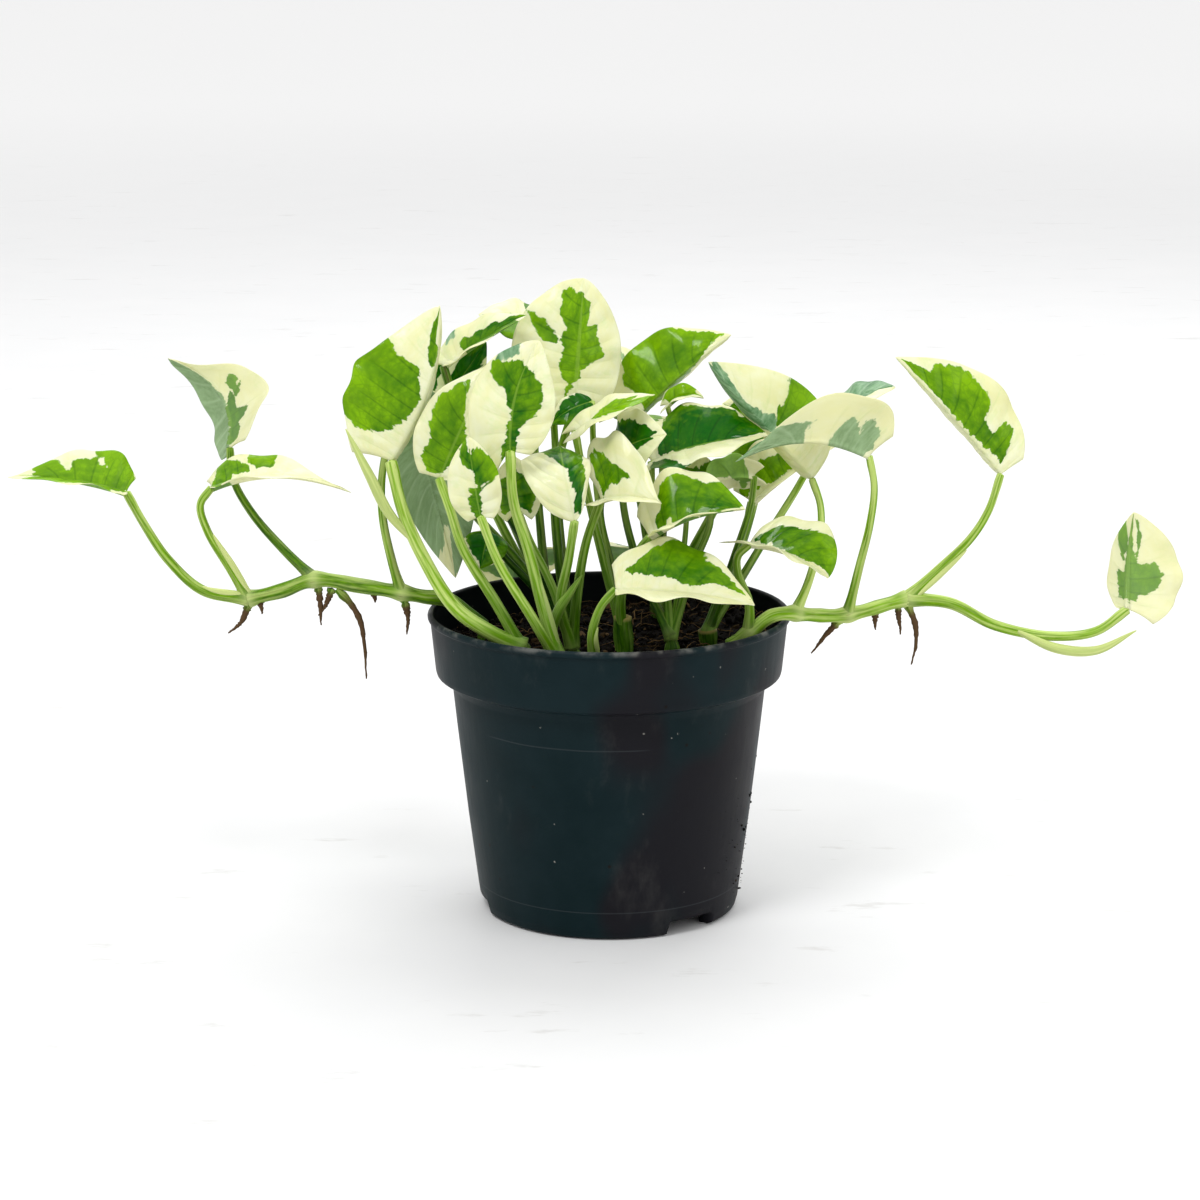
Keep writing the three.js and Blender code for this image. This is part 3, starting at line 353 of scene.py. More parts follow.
# each leaf's markings, drawn after the photograph, and made up in the same manner where it hides them
PATTERNS = {
  "vine_left_1": Pattern(Tone.NEW, under=0.1, green=(
    ((0.46, 1.15), (0.13, 1.15), (-0.05, 0.77), (-0.05, 0.05), (0.17, 0.07), (0.32, 0.07), (0.34, 0.57),
     (0.42, 0.75)),
    ((0.71, 1.15), (0.63, 0.92), (0.6, 0.42), (0.55, 0.67), (0.44, 0.75), (0.38, 0.53), (0.34, 0.17),
     (0.17, -0.08), (0.45, -1.15), (0.55, -0.83), (0.65, -1.15), (0.78, -1.15), (0.86, 0.92), (0.82, 0.42)),
    ((0.03, -0.6), (0.35, -0.7), (0.4, 0.5), (0.1, 0.6)),
  )),
  "vine_left_2": Pattern(under=0.3, green=(
    ((0.05, 0), (0.5, 0), (0.55, -0.3), (0.42, -0.2), (0.35, -0.5), (0.28, -0.25), (0.1, -0.3)),
    ((0.5, -0.35), (0.62, -0.4), (0.6, -0.75), (0.52, -0.7)),
  ), dusk=(
    ((-0.05, -0.04), (1.08, -0.04), (1.08, 1.15), (-0.05, 1.15)),
  )),
  "vine_left_3": Pattern(Tone.FRESH, green=(
    ((0.18, -1.15), (0.13, -0.87), (0.08, -0.47), (-0.05, 0.67), (0.24, 1.15), (0.27, -0.23), (0.4, -0.25),
     (0.39, -0.57), (0.28, -0.85), (0.22, -1.15)),
    ((0.39, -0.67), (0.42, -1.15), (0.5, -1.15), (0.54, -0.47), (0.45, -0.3)),
  )),
  "vine_left_4": Pattern(green=(), dusk=(
    ((-0.05, -1.15), (0.75, -1.15), (0.85, -0.3), (0.75, 0.4), (1.08, 0.7), (0.8, 1.15), (-0.05, 1.15)),
  )),
  "vine_right_1": Pattern(Tone.FRESH, green=(
    ((0.92, 0.85), (0.82, 0.77), (0.76, 0.67), (0.73, 0.85), (0.64, 0.93), (0.56, 0.93), (0.53, 0.8),
     (0.47, 0.75), (0.43, 0.7), (0.43, 0.42), (0.39, 0.35), (0.32, 0.38), (0.3, 0.7), (0.23, 0.75),
     (0.18, 0.53), (0.12, 0.17), (0.3, 0.08), (0.44, 0.05), (0.57, 0.03), (0.68, 0.08), (0.78, 0.12),
     (0.88, 0.27)),
  )),
  "vine_right_2": Pattern(Tone.FRESH, green=(
    ((0.76, 1.15), (0.78, 1.15), (0.78, 0.67), (0.73, 0.2), (0.56, 0.27), (0.6, 0.63), (0.65, 0.93)),
    ((0.94, -0.48), (0.88, -0.65), (0.72, -0.35), (0.61, -0.17), (0.43, -0.12), (0.07, -0.02), (0.21, 0.02),
     (0.55, -0.08)),
    ((0.57, -0.12), (0.56, -0.55), (0.47, -0.62), (0.35, -0.6), (0.28, -0.33), (0.27, -0.13),
     (0.43, -0.08)),
    ((0.51, 0.47), (0.53, 0.05), (0.39, -0.02), (0.21, 0.02), (0.25, 0.42)),
    ((0.18, -0.2), (0.5, -0.3), (0.7, -0.12), (1.08, -0.1), (1.08, 0.12), (0.5, 0.2), (0.2, 0.2)),
  )),
  "vine_right_3": Pattern(under=0.1, green=(
    ((0.55, 0.42), (0.53, 0.68), (0.53, 1.15), (0.39, 1.15), (0.34, 0.85), (0.36, 0.55), (0.43, 0.28),
     (0.51, 0.15)),
  ), dusk=(
    ((1.08, -0.85), (0.89, 1.15), (0.83, 0.43), (0.75, 0.05), (0.64, 0.18), (0.54, 0.3), (0.51, 0.1),
     (0.53, -0.02), (0.58, -0.6), (0.64, -1.15), (0.76, -1.15)),
  )),
  "vine_right_4": Pattern(under=0.3, green=(), dusk=(
    ((0.42, 0.3), (0.41, -0.32), (0.38, -0.55), (0.33, -0.53), (0.25, -0.33), (0.27, -0.57), (0.23, -0.7),
     (0.12, -0.6), (0.03, -0.22), (0.2, 0.43), (0.33, 0.28)),
    ((1.08, 1.15), (0.72, 1.15), (0.62, 0.3), (0.55, -0.5), (0.7, -1.15), (1.08, -1.15)),
  )),
  "vine_right_5": Pattern(green=(
    ((0.09, -0.18), (0.19, -0.5), (0.32, -0.65), (0.43, -0.72), (0.53, -0.83), (0.59, -1.15), (1.08, -1.15),
     (0.87, -0.35), (0.74, -0.03), (0.52, -0.03), (0.25, -0.08)),
  )),
  "cutting_a_1": Pattern(Tone.FRESH, green=(
    ((0.68, -1.15), (0.19, -1.15), (0.16, -0.9), (0.14, -0.82), (0.17, -0.67), (0.19, -0.48), (0.22, -0.33),
     (0.28, -0.23), (0.36, -0.15), (0.42, -0.1), (0.47, -0.07), (0.54, -0.05), (0.62, -0.17), (0.67, -0.32),
     (0.67, -0.45), (0.65, -0.62), (0.65, -0.78)),
    ((0.72, -0.12), (0.79, -0.33), (0.89, -0.55), (1.08, -0.4), (0.88, -0.2), (0.78, 0.1), (0.71, -0.05)),
  )),
  "cutting_a_2": Pattern(Tone.FRESH, green=(
    ((0.51, -0.83), (0.43, -0.73), (0.36, -0.53), (0.17, -0.72), (0.07, -0.55), (0.11, 0.03), (0.27, 0.17),
     (0.42, 0.27), (0.58, 0.15), (0.73, -0.33), (0.78, -0.82), (0.71, -0.87), (0.62, -0.88)),
  )),
  "cutting_b_1": Pattern(green=(
    ((0.58, -0.82), (0.61, -0.92), (0.67, -0.78), (0.76, -0.58), (0.82, -0.47), (0.82, 0.08), (0.74, 0.5),
     (0.68, 0.62), (0.59, 0.73), (0.51, 0.72), (0.44, 0.6), (0.4, 0.43), (0.34, 0.27), (0.28, 0.12),
     (0.17, 0.08), (-0.05, 0.23), (-0.05, 0.47), (-0.05, -0.37), (-0.05, -0.58), (-0.05, -0.47),
     (0.05, -0.3), (0.15, -0.2), (0.21, 0), (0.34, 0.03), (0.46, 0.02), (0.58, -0.38), (0.57, -0.62)),
    ((-0.05, -0.2), (0.2, -0.12), (0.5, 0), (0.5, 0.3), (0.2, 0.2), (-0.05, 0.3)),
  ), dusk=(
    ((0.64, -0.93), (0.68, -1.15), (0.8, -1.15), (0.77, -0.72), (0.67, -0.78)),
  )),
  "cutting_b_2": Pattern(green=(
    ((0.78, -0.95), (0.94, -1.15), (0.81, 0.9), (0.67, 0.93), (0.55, 1.15), (0.45, 1.15), (0.49, 0.75),
     (0.49, 0.32), (0.4, 0.02), (0.14, -0.08), (0.18, -0.32), (0.37, -0.32), (0.52, 0.08), (0.67, 0.02),
     (0.69, -0.52)),
    ((-0.05, -0.3), (0.2, -0.35), (0.5, -0.2), (0.5, 0.2), (0.2, 0.12), (-0.05, 0.15)),
  )),
  "cutting_c_1": Pattern(Tone.RICH, green=(
    ((0.8, -1.15), (0.92, -1.15), (1.08, 0.02), (0.85, 1.15), (0.72, 1.15), (0.63, 0.9), (0.47, 0.52),
     (0.21, 0.58), (0.04, 0.48), (0.16, 0.02), (0.3, 0.23), (0.48, 0.15), (0.66, 0.17), (0.74, -0.2),
     (0.75, -0.55), (0.82, -0.9)),
    ((0.1, 0.55), (0.3, 0.75), (0.55, 0.72), (0.6, 0.3), (0.2, 0.2)),
  )),
  "cutting_c_2": Pattern(green=(
    ((0.12, -0.93), (0.27, -0.82), (0.36, -0.58), (0.48, -0.42), (0.6, -0.38), (0.45, -0.22), (0.28, -0.17),
     (0.11, -0.05), (0.05, 1.15)),
  ), dusk=(
    ((0.28, -1.15), (0.2, -1.15), (0.17, -1.15)),
  )),
  "cutting_d_1": Pattern(green=(
    ((0.12, -0.45), (0.22, -0.63), (0.31, -0.77), (0.38, -0.88), (0.47, -1.15), (0.53, -1.15),
     (0.57, -0.93), (0.59, -0.83), (0.64, -0.87), (0.75, -0.87), (0.89, -0.93), (0.82, -0.73),
     (0.72, -0.57), (0.67, -0.25), (0.6, -0.15), (0.51, -0.23), (0.4, -0.25), (0.28, -0.3)),
  )),
  "cutting_e_1": Pattern(green=(
    ((0.32, -0.8), (0.38, -0.87), (0.5, -0.87), (0.62, -0.82), (0.74, -1.15), (0.93, -1.15), (0.91, 0.15),
     (0.63, 1.15), (0.65, 0), (0.45, 0.92), (0.38, -0.17), (0.25, 0), (0.14, 0.67), (0.2, -0.28),
     (0.31, -0.43), (0.28, -0.68)),
  )),
  "cutting_e_2": Pattern(Tone.DEEP, green=(
    ((0.3, -0.77), (0.5, -0.7), (0.71, -0.65), (0.84, -0.65), (0.82, 0.45), (0.68, 0.43), (0.48, 0.43),
     (0.27, 0.12), (-0.05, -0.85), (0.06, -1.15)),
  )),
  "cutting_e_3": Pattern(Tone.NEW, green=(
    ((0.33, -0.07), (0.49, -0.25), (0.6, -0.58), (0.78, -0.6), (0.88, 1.15), (0.72, 1.15), (0.56, 0.95),
     (0.45, 0.48)),
  )),
  "cutting_e_4": Pattern(Tone.DEEP, green=(
    ((-0.05, -1.15), (1.08, -1.15), (1.08, 0.6), (0.5, 0.8), (-0.05, 1.15)),
  )),
  "cutting_f_1": Pattern(Tone.DEEP, green=(
    ((0.24, -0.73), (0.3, -1.15), (0.38, -0.93), (0.47, -0.95), (0.58, -0.95), (0.68, -0.95), (0.77, -1.15),
     (0.92, -1.15), (0.89, 0.07), (0.78, 0.17), (0.65, 0.02), (0.53, 0.03), (0.35, -0.02), (0.12, -0.08)),
    ((0.07, 0.23), (0.29, 0.4), (0.42, 1.15), (0.14, 1.15)),
  )),
  "cutting_f_2": Pattern(Tone.FRESH, green=(
    ((0.25, -0.83), (0.35, -1.15), (0.52, -1.15), (0.62, -0.95), (0.73, -0.93), (0.88, -0.93),
     (0.85, -0.47), (0.79, -0.07), (0.6, 0.5), (0.43, 0.75), (0.17, 1.15), (-0.05, 1.15), (0.19, -0.23),
     (0.23, -0.48), (0.21, -0.72)),
  )),
  "cutting_f_3": Pattern(Tone.NEW, green=(
    ((0.1, -0.8), (0.6, -1.15), (1.08, -0.4), (0.8, 0.4), (0.3, 0.9)),
  )),
  "cutting_f_4": Pattern(green=(
    ((0.05, -0.9), (0.5, -1.15), (1.08, -0.3), (0.9, 0.6), (0.5, 0.5), (0.2, 1.15)),
  ), cream=(
    ((0.3, -0.5), (0.55, -0.7), (0.6, -0.2)),
  )),
  "cutting_g_1": Pattern(Tone.FRESH, green=(
    ((-0.05, -0.6), (0.13, -0.77), (0.3, -0.65), (0.45, -0.55), (0.58, -0.57), (0.71, -0.17), (0.55, -0.05),
     (0.42, -0.03), (0.27, -0.12), (0.03, -0.3)),
  )),
  "cutting_g_2": Pattern(Tone.NEW, green=(
    ((0.3, -1.15), (0.8, -1.15), (0.7, -0.3), (0.4, 0.2), (0.3, 0.9), (0.15, 0.3)),
  )),
  "cutting_g_3": Pattern(Tone.RICH, green=(
    ((-0.05, -1.15), (0.7, -1.15), (1.08, -0.2), (0.8, 0.7), (0.2, 1.15)),
  )),
  "cutting_g_4": Pattern(green=(), dusk=(
    ((0.1, -1.15), (0.9, -1.15), (1.08, 0.2), (0.6, 0.6), (0.2, 1.15)),
  )),
  "cutting_h_1": Pattern(Tone.FRESH, green=(
    ((0.83, -0.8), (0.88, -0.72), (0.89, -0.32), (0.92, 0.02), (0.81, 0.53), (0.73, 0.3), (0.68, 0.23),
     (0.65, 0.53), (0.6, 0.42), (0.53, 0.52), (0.46, 0.55), (0.42, 0.33), (0.38, 0.12), (0.26, 0),
     (0.17, -0.12), (0.07, -0.25), (0.22, -0.17), (0.33, -0.22), (0.41, -0.27), (0.52, -0.25),
     (0.57, -0.33), (0.65, -0.27), (0.7, -0.48), (0.78, -0.6)),
    ((0.56, -0.77), (0.59, -0.88), (0.61, -1.15), (0.63, -0.83), (0.62, -0.68), (0.61, -0.53),
     (0.58, -0.33), (0.52, -0.35), (0.51, -0.57)),
  )),
  "cutting_h_2": Pattern(Tone.RICH, green=(
    ((0.35, -0.23), (0.39, -0.45), (0.55, -0.43), (0.69, -0.57), (0.79, -0.82), (1.08, -1.15), (0.78, 1.15),
     (0.63, 1.15), (0.52, 0.75), (0.38, -0.08)),
  ), dusk=(
    ((0.34, -1.15), (0.32, -0.75), (0.23, -0.77), (0.26, -1.15)),
  )),
  "cutting_h_3": Pattern(Tone.DEEP, green=(
    ((-0.05, -1.15), (1.08, -1.15), (1.08, 1.15), (-0.05, 1.15)),
  ), cream=(
    ((0.15, -0.3), (0.45, -0.45), (0.8, -0.9), (0.6, -0.35), (0.3, -0.12)),
    ((0.4, 0.5), (0.7, 0.6), (0.8, 1.15), (0.6, 0.9)),
  )),
  "cutting_h_4": Pattern(Tone.RICH, green=(
    ((0.1, -0.9), (0.6, -1.15), (1.08, -0.3), (0.7, 0.3), (0.3, 0.1)),
    ((0.2, 0.4), (0.45, 0.6), (0.4, 1.15), (0.15, 0.9)),
  )),
  "cutting_h_5": Pattern(Tone.DEEP, green=(
    ((-0.05, -1.15), (1.08, -1.15), (1.08, 0.4), (0.4, 0.9), (0.1, 1.15)),
  )),
  "cutting_i_1": Pattern(green=(
    ((0.05, -0.95), (0.35, -1.15), (0.7, -0.85), (1.08, 0.05), (0.7, 0.2), (0.45, 0.05), (0.2, 0.3)),
    ((0.3, 0.5), (0.5, 0.45), (0.62, 0.8), (0.45, 1.15)),
  )),
  "cutting_i_2": Pattern(Tone.FRESH, green=(
    ((0.1, 0.05), (0.4, 0.1), (0.75, 0.4), (0.8, 1.15), (0.3, 1.15), (-0.05, 0.7)),
  ), dusk=(
    ((0.4, -0.1), (0.6, -0.5), (0.85, -0.4), (0.8, 0.1)),
  )),
  "cutting_i_3": Pattern(Tone.RICH, green=(
    ((0.05, -0.8), (0.5, -0.9), (1.08, -0.2), (0.85, 0.55), (0.5, 0.85), (0.1, 0.75)),
  ), cream=(
    ((0.25, 0.15), (0.5, 0.3), (0.7, 0.7), (0.45, 0.5)),
    ((0.35, -0.3), (0.6, -0.65), (0.55, -0.2)),
  )),
  "cutting_i_4": Pattern(Tone.DEEP, green=(
    ((0.1, -1.15), (0.6, -1.15), (0.8, -0.5), (0.5, -0.1), (0.15, -0.2)),
    ((0.45, 0.1), (0.8, 0.1), (1.08, 0.5), (0.6, 0.7)),
  )),
  "cutting_j_1": Pattern(green=(
    ((0.1, -0.4), (0.4, -0.95), (0.8, -0.8), (1.08, 0.1), (0.8, 0.75), (0.4, 0.6), (0.15, 0.85)),
  ), cream=(
    ((0.5, -0.55), (0.72, -0.6), (0.7, -0.25)),
  )),
  "cutting_j_2": Pattern(Tone.FRESH, green=(
    ((0.1, -1.15), (0.45, -1), (0.5, -0.2), (0.3, 0), (0.1, -0.2)),
    ((0.5, 0.05), (0.85, 0), (0.85, 0.6), (0.45, 0.95), (0.3, 0.5)),
  )),
  "cutting_j_3": Pattern(Tone.RICH, green=(
    ((-0.05, -0.6), (0.5, -0.85), (1.08, -0.6), (1.08, 0.5), (0.5, 1.15), (0.1, 1.15)),
  ), cream=(
    ((0.2, 0.1), (0.55, 0.15), (0.8, 0.45), (0.5, 0.4)),
  )),
  "cutting_j_4": Pattern(green=(
    ((0.1, 0.1), (0.5, 0.15), (0.9, 0.5), (0.5, 1.15), (0.1, 1.15)),
    ((0.35, -0.2), (0.6, -0.75), (0.45, -0.95), (0.25, -0.5)),
  ), dusk=(
    ((0.6, -0.1), (0.85, -0.5), (1, 0)),
  )),
}


def unit(v: Array) -> Array:
    """Vectors along the last axis, scaled to length 1.

    Args:
        v: any array of vectors

    Returns:
        the unit vectors
    """
    return v / np.maximum(np.linalg.norm(v, axis=-1, keepdims=True), 1e-9)


def smooth(low: float, high: float, x: Array) -> Array:
    """0 below low, 1 above high, and 3t^2 - 2t^3 between them."""
    t = np.clip((x - low) / (high - low), 0, 1)
    return t * t * (3 - 2 * t)


def bump(x: Array, centre: float, width: float) -> Array:
    """A bell: e to the minus square of the distance from centre over width."""
    return np.exp(-(((x - centre) / width) ** 2))


def value_noise(x: Array, y: Array, seed: int) -> Array:
    """Smooth noise from -1 to 1: random values at whole coordinates, blended by 3t^2 - 2t^3 between them.

    Args:
        x: first coordinates
        y: second coordinates
        seed: the number that the random values start from

    Returns:
        the noise at each point
    """
    size = 64
    lattice = np.random.default_rng(seed).uniform(-1, 1, (size, size))
    i, j = np.floor(x).astype(int), np.floor(y).astype(int)
    u, v = smooth(0, 1, x - i), smooth(0, 1, y - j)
    i, k, j, m = i % size, (i + 1) % size, j % size, (j + 1) % size
    a, b, c, d = lattice[i, j], lattice[k, j], lattice[i, m], lattice[k, m]
    return (a * (1 - u) + b * u) * (1 - v) + (c * (1 - u) + d * u) * v


def rib_frame(plan: Leaf, u: Array) -> tuple[Array, Array, Array]:
    """The rib's centre, its right-hand side and its face at each u.

    The rib is a quadratic curve joint, bend, tip, whose bend stands off the straight line by twice the arch
    towards the face and twice the sway to the right. Behind the joint it runs on straight.

    Args:
        plan: the leaf
        u: places along the rib, 0 at the joint and 1 at the tip

    Returns:
        centres, right-hand unit vectors and face unit vectors
    """
    joint, tip = plan.stalk[-1], plan.tip
    azimuth, elevation = np.radians(plan.face)
    level = math.cos(elevation)
    towards = np.array([math.sin(azimuth) * level, -math.cos(azimuth) * level, math.sin(elevation)])
    chord = unit(tip - joint)
    face = unit(towards - chord * (towards @ chord))
    bend = (joint + tip) / 2 + 2 * plan.arch * face + 2 * plan.sway * np.cross(chord, face)
    t = np.maximum(u, 0)[..., None]
    centre = (1 - t) ** 2 * joint + 2 * t * (1 - t) * bend + t * t * tip
    slope = 2 * ((1 - t) * (bend - joint) + t * (tip - bend))
    centre = centre + slope * np.minimum(u, 0)[..., None]
    right = unit(np.cross(unit(slope), face))
    return centre, right, np.cross(right, unit(slope))


def blade_point(plan: Leaf, number: int, name_length: int, along: Array, across: Array) -> Array:
    """The blade's middle surface, with along from the joint to the tip and across from edge to edge.

    The outline is two half ellipses that meet where the blade is broadest, the front one drawn out to a
    point, which never gets finer than a needle. Each line across sweeps forward as the side veins do. It
    lies on an arc that leaves the rib at the fold and turns on by the curl. Waves grow as the square of the
    way to the edge.

    Args:
        plan: the leaf
        number: the leaf's number on its stem, which shifts its waves
        name_length: the length of the stem's name, which shifts them too
        along: places along the blade
        across: places across it

    Returns:
        points in millimetres
    """
    left = across < 0
    width, fold, curl, drawn, lobe = (
        np.where(left, getattr(plan.left, key), getattr(plan.right, key))
        for key in ("width", "fold", "curl", "drawn", "lobe")
    )
    reach, side = np.abs(across), np.sign(across)
    angle = LOBE_ANGLE + (math.pi - LOBE_ANGLE) * along
    behind = angle < math.pi / 2
    edge_u = plan.broadest - np.where(behind, plan.broadest + lobe, 1 - plan.broadest) * np.cos(angle)
    ahead = np.maximum(0, -np.cos(angle))
    edge_v = np.maximum(0, np.sin(angle)) ** np.where(behind, 1, drawn) * (1 - TIP_TAPER * ahead**3)
    edge_v = np.maximum(edge_v, NEEDLE * np.sqrt(1 - along))
    rib_u = along**VEIN_POWER
    u = rib_u + (edge_u - rib_u) * reach**VEIN_BEND
    v = edge_v * reach
    half = np.radians(curl) * v / 2
    chord = width * v * np.sinc(half / math.pi)
    lean = np.radians(fold) + half
    phase = WAVE_SHIFT * number + name_length
    wave = WAVE_HEIGHT * width * v * v * np.sin(2 * math.pi * WAVE_COUNT * u + phase + 2 * side)
    centre, right, normal = rib_frame(plan, u)
    aside, raised = side * chord * np.cos(lean), chord * np.sin(lean) + wave
    return centre + aside[..., None] * right + raised[..., None] * normal


def island_depth(points: Array, outline: Array) -> Array:
    """How far inside a closed outline each point lies, negative outside.

    The depth is the distance to the nearest side, and a point is inside where a ray from it crosses an odd
    number of sides.

    Args:
        points: the points, as rows
        outline: the outline's corners, as rows

    Returns:
        a depth for each point
    """
    start, end = outline, np.roll(outline, -1, 0)
    side = end - start
    to = points[:, None] - start
    t = np.clip((to * side).sum(-1) / np.maximum((side**2).sum(-1), 1e-9), 0, 1)
    distance = np.linalg.norm(to - t[..., None] * side, axis=-1).min(1)
    spans = (start[:, 1] > points[:, None, 1]) != (end[:, 1] > points[:, None, 1])
    rise = np.where(side[:, 1] == 0, 1e-9, side[:, 1])
    crossing = start[:, 0] + (points[:, None, 1] - start[:, 1]) / rise * side[:, 0]
    inside = (spans & (points[:, None, 0] < crossing)).sum(1) % 2 == 1
    return np.where(inside, distance, -distance)


def smooth_route(route: Array, steps: int) -> Array:
    """Evenly spaced points on a smooth curve through the route's points.

    Between two points it is a cubic whose end slopes are set by the points around it, with the gaps between
    points counted as the square root of their length.

    Args:
        route: the route's points, as rows
        steps: how many equal steps to cut the curve into

    Returns:
        the points at the ends of the steps
    """
    points = np.vstack([2 * route[0] - route[1], route, 2 * route[-1] - route[-2]])
    t = np.linspace(0, 1, 40)[:, None]
    spans = []
    for p0, p1, p2, p3 in zip(points, points[1:], points[2:], points[3:]):
        a, b, c = (math.sqrt(np.linalg.norm(q - p)) for p, q in ((p0, p1), (p1, p2), (p2, p3)))
        m1 = ((p1 - p0) / a - (p2 - p0) / (a + b) + (p2 - p1) / b) * b
        m2 = ((p2 - p1) / b - (p3 - p1) / (b + c) + (p3 - p2) / c) * b
        here, there = (2 * t**3 - 3 * t**2 + 1) * p1, (3 * t**2 - 2 * t**3) * p2
        spans.append(here + there + (t**3 - 2 * t**2 + t) * m1 + (t**3 - t**2) * m2)
    dense = np.vstack(spans)
    dense = dense[np.r_[True, np.linalg.norm(np.diff(dense, axis=0), axis=1) > 1e-6]]
    length = np.r_[0, np.cumsum(np.linalg.norm(np.diff(dense, axis=0), axis=1))]
    even = np.linspace(0, length[-1], steps + 1)
    return np.stack([np.interp(even, length, dense[:, k]) for k in range(3)], 1)


@dataclass
class Shell:
    """Vertices in millimetres, quads or triangles as rows of corners, and values at each vertex."""

    points: Array
    faces: list
    values: dict


def grid_faces(rows: int, columns: int, around: bool = False) -> Array:
    """The quads of a grid of rows by columns, joined back to the first column where it runs around.

    Args:
        rows: rows of vertices
        columns: vertices in a row
        around: whether each row closes on itself

    Returns:
        the quads, as rows of four vertex numbers
    """
    r = np.arange(rows - 1)[:, None] * columns
    c = np.arange(columns if around else columns - 1)[None, :]
    d = (c + 1) % columns
    return np.stack([r + c, r + d, r + columns + d, r + columns + c], -1).reshape(-1, 4)


def joined(shells: list[Shell]) -> Shell:
    """Several shells as one, with a value that a shell lacks taken as 0.

    Args:
        shells: the shells

    Returns:
        one shell
    """
    keys = {key: shell.values[key].shape[1:] for shell in shells for key in shell.values}
    offsets = np.cumsum([0] + [len(shell.points) for shell in shells])
    faces = [np.asarray(part) + offset for shell, offset in zip(shells, offsets) for part in shell.faces]
    values = {}
    for key, shape in keys.items():
        parts = [shell.values.get(key, np.zeros((len(shell.points), *shape))) for shell in shells]
        values[key] = np.concatenate(parts)
    return Shell(np.vstack([shell.points for shell in shells]), faces, values)


def piece(name: str, shell: Shell, material: Material, node: str | None = None) -> Piece:
    """A Blender piece from a shell, which rides on the one body and may stand for a node of the solids.

    Args:
        name: the piece's name
        shell: its vertices, faces and stored values
        material: its material
        node: the node of the solids that it replaces, if any

    Returns:
        the object
    """
    mesh = bpy.data.meshes.new(name)
    corners = np.concatenate([part.ravel() for part in shell.faces])
    sizes = np.concatenate([np.full(len(part), part.shape[1]) for part in shell.faces])
    mesh.vertices.add(len(shell.points))
    mesh.vertices.foreach_set("co", (shell.points * MM).astype(np.float32).ravel())
    mesh.loops.add(len(corners))
    mesh.loops.foreach_set("vertex_index", corners.astype(np.int32))
    mesh.polygons.add(len(sizes))
    mesh.polygons.foreach_set("loop_start", np.r_[0, np.cumsum(sizes)[:-1]].astype(np.int32))
    for key, value in shell.values.items():
        kind, store = ("FLOAT", "value") if value.ndim == 1 else ("FLOAT_VECTOR", "vector")
        mesh.attributes.new(key, kind, "POINT").data.foreach_set(store, value.astype(np.float32).ravel())
    mesh.update(calc_edges=True)
    mesh.validate()
    mesh.polygons.foreach_set("use_smooth", np.ones(len(mesh.polygons), bool))
    mesh.materials.append(material)
    obj = bpy.data.objects.new(name, mesh)
    bpy.context.scene.collection.objects.link(obj)
    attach(obj, "root")
    if node:
        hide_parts(node)
    LOG.info("%s: %d faces", name, len(mesh.polygons))
    return obj


def tube(route: Array, radius: Array, sides: int, values: dict | None = None, groove: float = 0.0) -> Shell:
    """A closed round tube along a route of points, with a radius at each and a low cone over each end.

    Every ring stands square to the route. Its sideways direction is the route's direction crossed with the
    axis that the route keeps furthest from, and a groove draws the ring in where it points square to both.
    The stored fibre is the way round and the length along, which the streaks follow.

    Args:
        route: the middle line's points
        radius: the radius at each point
        sides: how many sides the tube has
        values: stored values by name, one number or one for each point
        groove: how deep the groove is, as a share of the radius

    Returns:
        the closed tube
    """
    around, per_mm = 2, 0.12
    ahead = unit(np.gradient(route, axis=0))
    axis = np.eye(3)[np.argmin(np.abs(ahead).max(0))]
    side = unit(np.cross(ahead, axis))
    up = np.cross(side, ahead)
    turn = np.linspace(0, 2 * math.pi, sides, endpoint=False)
    shape = 1 - groove * bump(np.minimum(turn, 2 * math.pi - turn), 0, 0.55)
    out = np.cos(turn)[None, :, None] * up[:, None] + np.sin(turn)[None, :, None] * side[:, None]
    rings = route[:, None] + (radius[:, None] * shape)[..., None] * out
    first, final = route[0] - ahead[0] * radius[0] * 0.3, route[-1] + ahead[-1] * radius[-1] * 0.4
    count = len(route)
    run = np.r_[0, np.cumsum(np.linalg.norm(np.diff(route, axis=0), axis=1))] * per_mm
    fibre = np.stack(np.broadcast_arrays(np.cos(turn) * around, np.sin(turn) * around, run[:, None]), -1)
    stored = {"fibre": np.vstack([fibre.reshape(-1, 3), [[0, 0, 0]], [[0, 0, run[-1]]]])}
    for key, value in (values or {}).items():
        value = np.broadcast_to(value, (count,))
        stored[key] = np.r_[np.repeat(value, sides), value[0], value[-1]]
    i = np.arange(sides)
    j = (i + 1) % sides
    start, end, last = count * sides, count * sides + 1, (count - 1) * sides
    near_cap = np.stack([np.full(sides, start), j, i], 1)
    far_cap = np.stack([np.full(sides, end), last + i, last + j], 1)
    faces = [grid_faces(count, sides, around=True), near_cap, far_cap]
    return Shell(np.vstack([rings.reshape(-1, 3), first, final]), faces, stored)


